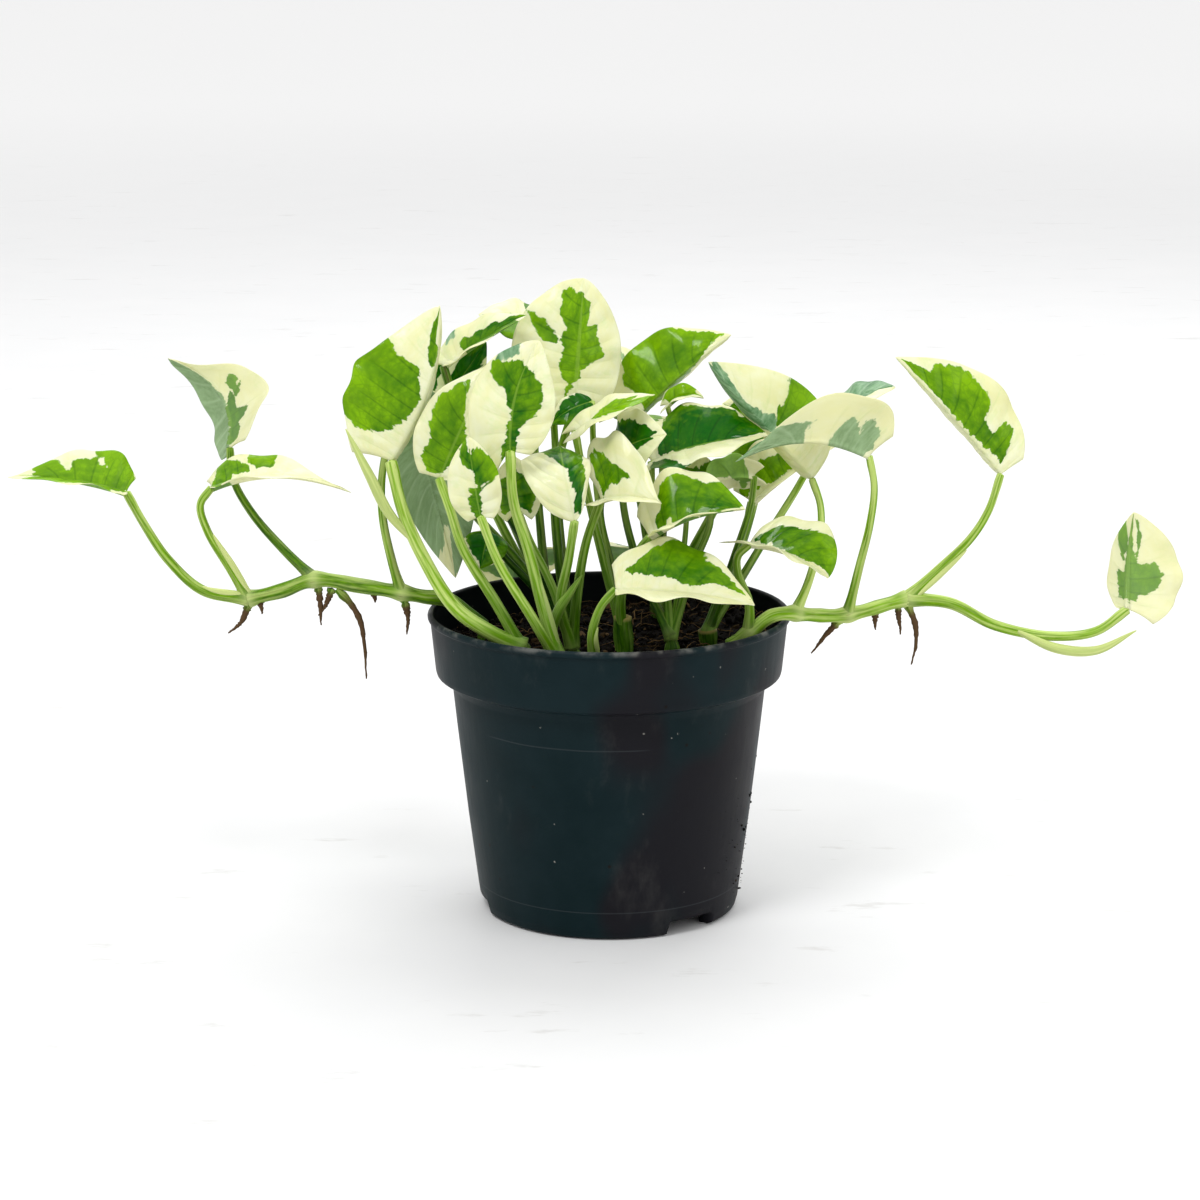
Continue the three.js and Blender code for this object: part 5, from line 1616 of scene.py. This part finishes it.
def speckle_group() -> Tree:
    """Sparse small spots: the middles of Voronoi cells, of which the spread is the share that is kept.

    Returns:
        the group, which puts out a mask
    """
    inputs = {"Vector": "Vector", "Scale": "Float", "Spread": "Float"}
    graph, start, end = group("speckle", inputs, {"Mask": "Float"})
    vector, scale, spread = (start.outputs[key] for key in inputs)
    cells = graph.node("TexVoronoi", {"Vector": vector, "Scale": scale, "Randomness": 1.0})
    spot = graph.mask(cells.outputs["Distance"], 0.24, 0.08)
    tint = graph.node("SeparateColor", {0: cells.outputs["Color"]}).outputs[0]
    kept = graph.math("LESS_THAN", tint, spread)
    graph.feed(end.inputs[0], graph.times(spot, kept))
    return graph.tree


def mottle_group() -> Tree:
    """Two sizes of noise added, from 0 to 1, for the slow change of a colour over a surface.

    Returns:
        the group, which puts out a value
    """
    graph, start, end = group("mottle", {"Vector": "Vector", "Scale": "Float"}, {"Value": "Float"})
    vector, scale = start.outputs["Vector"], start.outputs["Scale"]
    broad = graph.node("TexNoise", {"Vector": vector, "Scale": scale, "Detail": 2.0}).outputs[0]
    finer = graph.times(scale, 5.0)
    fine = graph.node("TexNoise", {"Vector": vector, "Scale": finer, "Detail": 3.0}).outputs[0]
    both = graph.plus(graph.times(broad, 0.65), graph.times(fine, 0.35))
    graph.feed(end.inputs[0], graph.mask(both, 0.3, 0.7))
    return graph.tree


@dataclass
class Effects:
    """The node groups that several finishes share, and short ways to place them in a finish's graph."""

    speckles: Tree = field(default_factory=speckle_group)
    mottles: Tree = field(default_factory=mottle_group)

    def mottle(self, g: Graph, vector: object, scale: float) -> Socket:
        """The slow change of a colour, from 0 to 1."""
        return g.node("Group", {"Vector": vector, "Scale": scale}, node_tree=self.mottles).outputs[0]

    def speckle(self, g: Graph, vector: object, scale: float, spread: float) -> Socket:
        """The mask of sparse spots, of which the spread is the share that is kept."""
        inputs = {"Vector": vector, "Scale": scale, "Spread": spread}
        return g.node("Group", inputs, node_tree=self.speckles).outputs[0]


def blank(name: str) -> tuple[Material, Graph]:
    """An empty node material and its graph.

    Args:
        name: the material's name

    Returns:
        the material and its graph
    """
    material = bpy.data.materials.new(name)
    material.use_nodes = True
    material.node_tree.nodes.clear()
    return material, Graph(material.node_tree)


@dataclass(frozen=True)
class LeafFinish:
    """The blades: cream with green islands that fray along the side veins, waxy above and matt below."""

    cream: tuple = (0.87, 0.885, 0.68)
    ivory: tuple = (0.82, 0.82, 0.48)
    blush: tuple = (0.62, 0.76, 0.34)
    cream_vein: tuple = (0.66, 0.74, 0.34)
    cream_below: tuple = (0.86, 0.84, 0.56)
    deep: tuple = (0.002, 0.115, 0.001)
    fresh: tuple = (0.25, 0.50, 0.001)
    patch: tuple = (0.12, 0.34, 0.004)
    rib: tuple = (0.30, 0.50, 0.06)
    vein_tint: tuple = (0.35, 0.5, 0.5)
    green_below: tuple = (0.30, 0.46, 0.18)
    grey: tuple = (0.075, 0.225, 0.085)
    silver: tuple = (0.31, 0.50, 0.30)
    silver_vein: tuple = (0.42, 0.60, 0.40)
    glow_tint: tuple = (1.0, 1.0, 0.5)
    fray: float = 3.2
    gloss: float = 0.27
    specular: float = 0.05
    wax: float = 0.24
    wax_roughness: float = 0.08
    glow: float = 0.3

    def islands(self, g: Graph, blade: Socket) -> tuple[Socket, Socket]:
        """The masks of the green islands and of the grey-green patches.

        An island shows where its depth plus a noise drawn out along the side veins is above 0.

        Args:
            g: the material's graph
            blade: the place on the blade, in millimetres

        Returns:
            the two masks
        """
        fray = g.noise(g.stretched(blade, 0.42, 0.10), 1.0, 2.5, 0.5)
        nibble = g.noise(g.stretched(blade, 0.8, 0.5), 1.0, 2.0)
        ragged = g.plus(g.times(fray, 0.75), g.times(nibble, 0.25))
        shift = g.times(g.minus(ragged, 0.5), self.fray * 2)
        green = g.mask(g.plus(g.stored("green"), shift), -0.22, 0.22)
        return green, g.mask(g.plus(g.stored("dusk"), shift), -0.3, 0.3)

    def green(self, g: Graph, mottle: Socket, patchy: Socket, lines: Socket, rib: Socket) -> Socket:
        """The green of an island: fresher with the stored tone, lighter towards the edge as a painted
        backlight glow, darker on its veins.

        Args:
            g: the material's graph
            mottle: the slow change of colour
            patchy: a finer one
            lines: where the side veins and the net between them are
            rib: where the rib is

        Returns:
            the colour
        """
        # painted backlight glow: the green lightens towards the blade's edge
        painted_rim_glow = g.times(g.mask(g.stored("reach"), 0.35, 1.0), 0.3)
        level = g.plus(g.plus(g.stored("tone"), painted_rim_glow), g.times(g.minus(mottle, 0.68), 0.8))
        body = g.mix(level, self.deep, self.fresh)
        body = g.mix(g.times(patchy, 0.35), body, g.mix(0.5, body, self.patch))
        body = g.mix(g.times(lines, 0.6), body, g.tinted(body, self.vein_tint))
        return g.mix(g.times(rib, 0.45), body, self.rib)

    def build(self, effects: Effects) -> Material:
        """The blade's material. A side vein is where the stored vein count is near a whole number.

        Args:
            effects: the shared node groups

        Returns:
            the material
        """
        material, g = blank("leaf_blade")
        blade = g.stored("blade", "Vector")
        green, dusk = self.islands(g, blade)
        mottle = effects.mottle(g, blade, 0.09)
        patchy = effects.mottle(g, g.stretched(blade, 1, 0.35), 0.3)
        reach, under = g.stored("reach"), g.stored("under")
        phase = g.math("PINGPONG", g.stored("vein"), 0.5)
        line = g.times(g.mask(phase, 0.1, 0.0), g.mask(reach, 0.97, 0.6))
        rib = g.mask(reach, 0.05, 0.015)
        cells = {"Vector": g.stretched(blade, 0.5, 0.3), "Scale": 1.0}
        to_side = g.node("TexVoronoi", cells, feature="DISTANCE_TO_EDGE").outputs["Distance"]
        net = g.times(g.mask(to_side, 0.12, 0.0), g.times(g.mask(mottle, 0.1, 0.7), 0.5))
        veins = g.math("MAXIMUM", g.times(line, 0.7), rib)
        cream = g.mix(mottle, self.cream, self.ivory)
        cream = g.mix(g.times(g.mask(patchy, 0.55, 1.0), 0.28), cream, self.blush)
        cream = g.mix(g.times(veins, 0.3), cream, self.cream_vein)
        silver = g.mix(patchy, self.grey, self.silver)
        silver = g.mix(g.times(g.mask(phase, 0.16, 0.0), 0.55), silver, self.silver_vein)
        body = self.green(g, mottle, patchy, g.math("MAXIMUM", line, net), rib)
        upper = g.mix(green, g.mix(dusk, cream, silver), body)
        matt = g.mix(g.math("MAXIMUM", green, g.times(dusk, 0.7)), self.cream_below, self.green_below)
        colour = g.mix(under, upper, g.mix(0.45, upper, matt))
        grain = g.noise(blade, 4.5, 2.0)
        quilted = g.plus(g.times(g.mask(phase, 0.0, 0.5), 0.5), g.times(grain, 0.12))
        sunk = g.math("MULTIPLY_ADD", under, -0.9, 0.35)
        normal = g.relief(g.minus(quilted, g.times(veins, sunk)), 0.4, 0.0005)
        rough = g.plus(g.times(grain, 0.14), g.plus(self.gloss - 0.05, g.times(under, 0.28)))
        looks = {"Base Color": colour, "Roughness": rough, "Normal": normal}
        shine = {"Specular IOR Level": self.specular, "Coat Weight": self.wax}
        skin = g.node("BsdfPrincipled", {**looks, **shine, "Coat Roughness": self.wax_roughness})
        inner = g.mix(0.5, colour, g.tinted(colour, self.glow_tint))
        glow = g.node("BsdfTranslucent", {"Color": inner, "Normal": normal})
        both = g.node("MixShader", {0: self.glow, 1: skin.outputs[0], 2: glow.outputs[0]})
        g.node("OutputMaterial", {"Surface": both.outputs[0]})
        return material


@dataclass(frozen=True)
class StemFinish:
    """Stems and stalks: green, streaked pale and dark, with pale joints, brown roots and papery sheaths."""

    deep: tuple = (0.012, 0.066, 0.002)
    fresh: tuple = (0.17, 0.35, 0.003)
    cream: tuple = (0.54, 0.66, 0.20)
    streak: tuple = (0.03, 0.10, 0.01)
    blotch: tuple = (0.085, 0.055, 0.018)
    joint: tuple = (0.55, 0.62, 0.25)
    scar: tuple = (0.16, 0.10, 0.03)
    paper: tuple = (0.62, 0.66, 0.28)
    bark: tuple = (0.04, 0.022, 0.011)
    bark_pale: tuple = (0.12, 0.07, 0.03)
    cut: tuple = (0.52, 0.34, 0.16)
    # painted shade low inside the crown: the tint it multiplies the colour by, and the heights and the
    # distances from the axis, in metres, where it starts and where it is full
    painted_shade_tint: tuple = (0.17, 0.32, 0.08)
    crown_top: float = 0.19
    crown_foot: float = 0.105
    crown_edge: float = 0.068
    crown_heart: float = 0.042
    specular: float = 0.09

    def build(self, effects: Effects) -> Material:
        """The stem's material: streaks are noise drawn out along the stem's own direction.

        Low down inside the crown, where stems stand close together, painted shade deepens the colour.

        Args:
            effects: the shared node groups

        Returns:
            the material
        """
        material, g = blank("stem_skin")
        fibre = g.stored("fibre", "Vector")
        tone, bark, joint = g.stored("tone"), g.stored("bark"), g.stored("joint")
        streak = g.noise(g.stretched(fibre, 0.5, 0.5, 0.22), 1.4, 3.0, 0.5)
        fine = g.noise(g.stretched(fibre, 2.4, 2.4, 0.7), 2.0, 3.0)
        mottle = effects.mottle(g, fibre, 0.8)
        colour = g.mix(g.plus(tone, g.times(g.minus(mottle, 0.5), 0.7)), self.deep, self.fresh)
        pale = g.mask(g.math("MULTIPLY_ADD", tone, 0.09, streak), 0.44, 0.68)
        colour = g.mix(g.times(pale, g.math("MULTIPLY_ADD", tone, 0.7, 0.2)), colour, self.cream)
        colour = g.mix(g.times(g.mask(fine, 0.6, 0.75), 0.35), colour, self.streak)
        brown = g.mask(g.noise(g.stretched(fibre, 0.4, 0.4, 0.12), 1.0, 2.0), 0.56, 0.66)
        colour = g.mix(g.times(brown, g.math("MULTIPLY_ADD", tone, -0.5, 0.6)), colour, self.blotch)
        colour = g.mix(g.times(joint, 0.5), colour, self.joint)
        scars = effects.speckle(g, g.stretched(fibre, 1.0, 1.0, 0.5), 3.0, 0.16)
        colour = g.mix(g.times(scars, 0.75), colour, self.scar)
        colour = g.mix(g.times(g.stored("paper"), 0.7), colour, self.paper)
        colour = g.mix(bark, colour, g.mix(fine, self.bark, self.bark_pale))
        colour = g.mix(g.stored("cut"), colour, self.cut)
        # painted shade: the colour darkens low down inside the crown
        place = g.place()
        low = g.mask(g.height(place), self.crown_top, self.crown_foot)
        inner = g.mask(g.from_axis(place), self.crown_edge, self.crown_heart)
        colour = g.mix(g.times(g.times(low, inner), 0.75), colour, g.tinted(colour, self.painted_shade_tint))
        height = g.plus(g.times(streak, 0.6), g.times(fine, 0.4))
        rough = g.plus(g.times(fine, 0.2), g.plus(0.3, g.times(bark, 0.3)))
        g.surface(colour, rough, g.relief(height, 0.35, 0.0004), self.specular)
        return material


@dataclass(frozen=True)
class PeatFinish:
    """Moist peat: near black, with brown and tan bits and pale flecks."""

    dark: tuple = (0.0010, 0.0009, 0.0008)
    brown: tuple = (0.0055, 0.0034, 0.002)
    chip: tuple = (0.08, 0.05, 0.025)
    tan: tuple = (0.22, 0.13, 0.055)
    fleck: tuple = (0.22, 0.16, 0.08)
    specular: float = 0.05

    def build(self, effects: Effects) -> Material:
        """The peat's material: the stored shade sets how tan each crumb, chip and fibre is.

        Args:
            effects: the shared node groups

        Returns:
            the material
        """
        material, g = blank("peat_crumb")
        place = g.place()
        fine = g.noise(place, 900.0, 5.0, 0.7)
        colour = g.mix(effects.mottle(g, place, 260.0), self.dark, self.brown)
        colour = g.mix(g.mask(g.stored("shade"), 0.45, 1.0), colour, g.mix(fine, self.chip, self.tan))
        flecks = effects.speckle(g, place, 420.0, 0.03)
        colour = g.mix(g.times(flecks, 0.7), colour, self.fleck)
        rough = g.plus(0.72, g.times(fine, 0.25))
        g.surface(colour, rough, g.relief(fine, 0.8, 0.0008), self.specular)
        return material


@dataclass(frozen=True)
class PotFinish:
    """Thin moulded plastic: blue-black with a satin sheen, fine scuffs, dust and dried splashes."""

    base: tuple = (0.0015, 0.0095, 0.0115)
    worn: tuple = (0.005, 0.0145, 0.0175)
    plum: tuple = (0.010, 0.005, 0.0075)
    dust_and_highlight: tuple = (0.42, 0.41, 0.37)
    crumb: tuple = (0.006, 0.004, 0.003)
    scored: tuple = (0.05, 0.058, 0.062)
    # the near black of the painted shade inside the wall
    inside: tuple = (0.0005, 0.0012, 0.0015)
    crease: float = 0.0715
    hem: float = 0.0105
    lip_foot: float = 0.1068
    lip_top: float = 0.1086
    taper: float = 0.101
    inner_foot: float = 0.0529
    soil: float = 0.088
    specular: float = 0.08

    def colour(self, g: Graph, effects: Effects, place: Socket, mottle: Socket) -> Socket:
        """Mottling, plum stains, pale specks, dark crumbs, a film of dust, and a lip lightened by dust and a
        painted highlight.

        Args:
            g: the material's graph
            effects: the shared node groups
            place: the place on the pot
            mottle: the slow change of colour

        Returns:
            the colour
        """
        colour = g.mix(mottle, self.base, self.worn)
        stain = g.mask(g.noise(g.stretched(place, 1.0, 1.0, 0.6), 17.0, 2.0), 0.5, 0.6)
        colour = g.mix(g.times(stain, 0.65), colour, self.plum)
        specks = effects.speckle(g, place, 420.0, 0.022)
        ragged = g.mask(g.noise(place, 700.0, 4.0), 0.42, 0.62)
        colour = g.mix(g.times(g.times(specks, ragged), 0.8), colour, self.dust_and_highlight)
        crumbs = effects.speckle(g, place, 260.0, 0.04)
        colour = g.mix(g.times(crumbs, 0.9), colour, self.crumb)
        cloud = g.noise(g.stretched(place, 1.0, 1.0, 0.5), 60.0, 5.0, 0.65)
        colour = g.mix(g.times(g.mask(cloud, 0.55, 0.8), 0.04), colour, self.dust_and_highlight)
        # the lip: lightened partly by dust and scuffs, partly by a painted highlight along its top
        lip = g.mask(g.height(place), self.lip_foot, self.lip_top)
        lip = g.times(lip, g.mask(g.noise(place, 130.0, 4.0), 0.46, 0.7))
        return g.mix(g.times(lip, 0.22), colour, self.dust_and_highlight)

    def lines(self, g: Graph, place: Socket) -> Socket:
        """Two fine level lines: a wavering crease in the wall, broken by noise, and a hem near the foot.

        Args:
            g: the material's graph
            place: the place on the pot

        Returns:
            the lines' mask
        """
        waver = g.times(g.minus(g.noise(place, 30.0, 1.0), 0.5), 0.0016)
        heights = g.height(place)
        crease = g.near(g.plus(heights, waver), self.crease, 0.0004)
        hem = g.near(heights, self.hem, 0.00035)
        return g.math("MAXIMUM", g.times(crease, g.mask(g.noise(place, 24.0, 1.0), 0.5, 0.62)), hem)

    def build(self, effects: Effects) -> Material:
        """The pot's material. Inside the tapered wall and above the peat's lowest edge it is painted near
        black, as painted shade.

        Args:
            effects: the shared node groups

        Returns:
            the material
        """
        material, g = blank("pot_plastic")
        place = g.place()
        mottle = effects.mottle(g, place, 22.0)
        drag = g.noise(g.stretched(place, 1.0, 1.0, 0.12), 420.0, 3.0)
        scored = self.lines(g, place)
        colour = g.mix(g.times(scored, 0.35), self.colour(g, effects, place, mottle), self.scored)
        # painted shade: inside the wall, above the peat's lowest edge, the pot is painted near black
        heights = g.height(place)
        at_foot = g.math("MULTIPLY_ADD", heights, -self.taper, g.from_axis(place))
        within = g.mask(at_foot, self.inner_foot, self.inner_foot - 0.0003)
        shaded_inside = g.times(within, g.mask(heights, self.soil, self.soil + 0.002))
        colour = g.mix(g.times(shaded_inside, 0.85), colour, self.inside)
        height = g.plus(g.times(g.noise(place, 1500.0, 2.0), 0.5), g.times(drag, 0.5))
        height = g.minus(height, g.times(scored, 0.6))
        rough = g.plus(0.36, g.plus(g.times(drag, 0.12), g.times(mottle, 0.1)))
        g.surface(colour, rough, g.relief(height, 0.16, 0.0003), self.specular)
        return material


@dataclass(frozen=True)
class Studio:
    """A pale floor, soft lights and a camera at the photograph's viewing angle."""

    distance: float = 1206.69
    height: float = 390.39
    aside: float = -3.25
    pitch: float = 0.2263
    sensor: float = 36.0
    focal: float = 3459.73 / 1200
    target: tuple = (0, 0, 0.13)
    reach: float = 80.0
    paint: tuple = (0.70, 0.70, 0.70)
    cloud: tuple = (0.645, 0.65, 0.655)
    # the whiter far floor: painted light where the lamps' light falls off
    far_painted_light: tuple = (0.99, 0.99, 0.99)
    scuff: tuple = (0.45, 0.44, 0.42)
    surroundings: float = 0.9

    def camera(self) -> None:
        """A camera in front of the pot, looking down by the pitch."""
        data = bpy.data.cameras.new("camera")
        data.lens, data.sensor_width, data.clip_end = self.focal * self.sensor, self.sensor, 400.0
        camera = bpy.data.objects.new("camera", data)
        camera.location = (self.aside * MM, -self.distance * MM, self.height * MM)
        camera.rotation_euler = (math.pi / 2 - self.pitch, 0, 0)
        bpy.context.scene.collection.objects.link(camera)
        bpy.context.scene.camera = camera

    def light(self, name: str, place: tuple, size: float, power: float) -> None:
        """A square soft light that shines at the plant's middle.

        Args:
            name: the lamp's name
            place: its place in metres
            size: its square's side in metres
            power: its power in watts
        """
        data = bpy.data.lights.new(name, "AREA")
        data.size, data.energy = size, power
        lamp = bpy.data.objects.new(name, data)
        lamp.location = place
        x, y, z = np.array(self.target) - np.array(place)
        lamp.rotation_euler = (math.atan2(math.hypot(x, y), -z), 0, math.atan2(-x, y))
        bpy.context.scene.collection.objects.link(lamp)

    def paint_floor(self) -> Material:
        """The floor's material: a faint mottling, painted lighter with distance where the lamps' light falls
        off, and scuffs that fade with it.

        Returns:
            the material
        """
        material, g = blank("floor_paint")
        place = g.place()
        # painted light: the floor is darker near the plant, where the lamps light it, and whiter far off,
        # where they don't reach
        far_painted_light = g.mask(g.length(place), 0.6, 3.6)
        colour = g.mix(g.noise(place, 14.0, 4.0), self.paint, self.cloud)
        colour = g.mix(far_painted_light, colour, self.far_painted_light)
        scuffs = g.mask(g.noise(g.stretched(place, 0.5, 1.6, 1.0), 30.0, 5.0, 0.7), 0.6, 0.7)
        scuffs = g.times(scuffs, g.math("MULTIPLY_ADD", far_painted_light, -0.42, 0.42))
        colour = g.mix(scuffs, colour, self.scuff)
        skin = g.node("BsdfPrincipled", {"Base Color": colour, "Roughness": 0.8})
        g.node("OutputMaterial", {"Surface": skin.outputs[0]})
        return material

    def floor(self) -> None:
        """A broad pale floor, which is stage and no part of the plant."""
        size = self.reach
        mesh = bpy.data.meshes.new("floor")
        corners = [(-size, -size, 0), (size, -size, 0), (size, size, 0), (-size, size, 0)]
        mesh.from_pydata(corners, [], [(0, 1, 2, 3)])
        mesh.materials.append(self.paint_floor())
        floor = bpy.data.objects.new("floor", mesh)
        bpy.context.scene.collection.objects.link(floor)

    def build(self) -> None:
        """The camera, the floor, the lights and the white surroundings."""
        self.camera()
        self.floor()
        self.light("key", (-0.5, -0.8, 1.4), 0.42, 11)
        self.light("fill", (1.1, -0.6, 0.9), 1.0, 4)
        self.light("back", (0.2, 0.9, 1.4), 1.2, 15)
        world = bpy.data.worlds.new("studio")
        world.use_nodes = True
        background = world.node_tree.nodes["Background"]
        background.inputs[0].default_value = (1.0, 1.0, 1.0, 1.0)
        background.inputs[1].default_value = self.surroundings
        bpy.context.scene.world = world
        bpy.context.scene.view_settings.view_transform = "Standard"


def main() -> None:
    """Builds the sub-assemblies in order."""
    logging.basicConfig(level=logging.INFO, format="%(name)s: %(message)s")
    effects = Effects()
    Studio().build()
    Pot().build(PotFinish().build(effects))
    Soil().build(PeatFinish().build(effects))
    skin, waxy = StemFinish().build(effects), LeafFinish().build(effects)
    for name, plan in {**VINES, **CUTTINGS}.items():
        Stem(name=name, **plan, tone=TONES.get(name, USUAL_TONE)).build(skin)
        grid = COARSE_GRID if name in REAR else FINE_GRID
        for number, shape in enumerate(plan["leaves"], 1):
            key = f"{name}_{number}"
            blade = Blade("leaf_" + key, shape, number, name, PATTERNS.get(key, Pattern()), *grid)
            weld(blade.build(waxy))


if __name__ == "__main__":
    main()
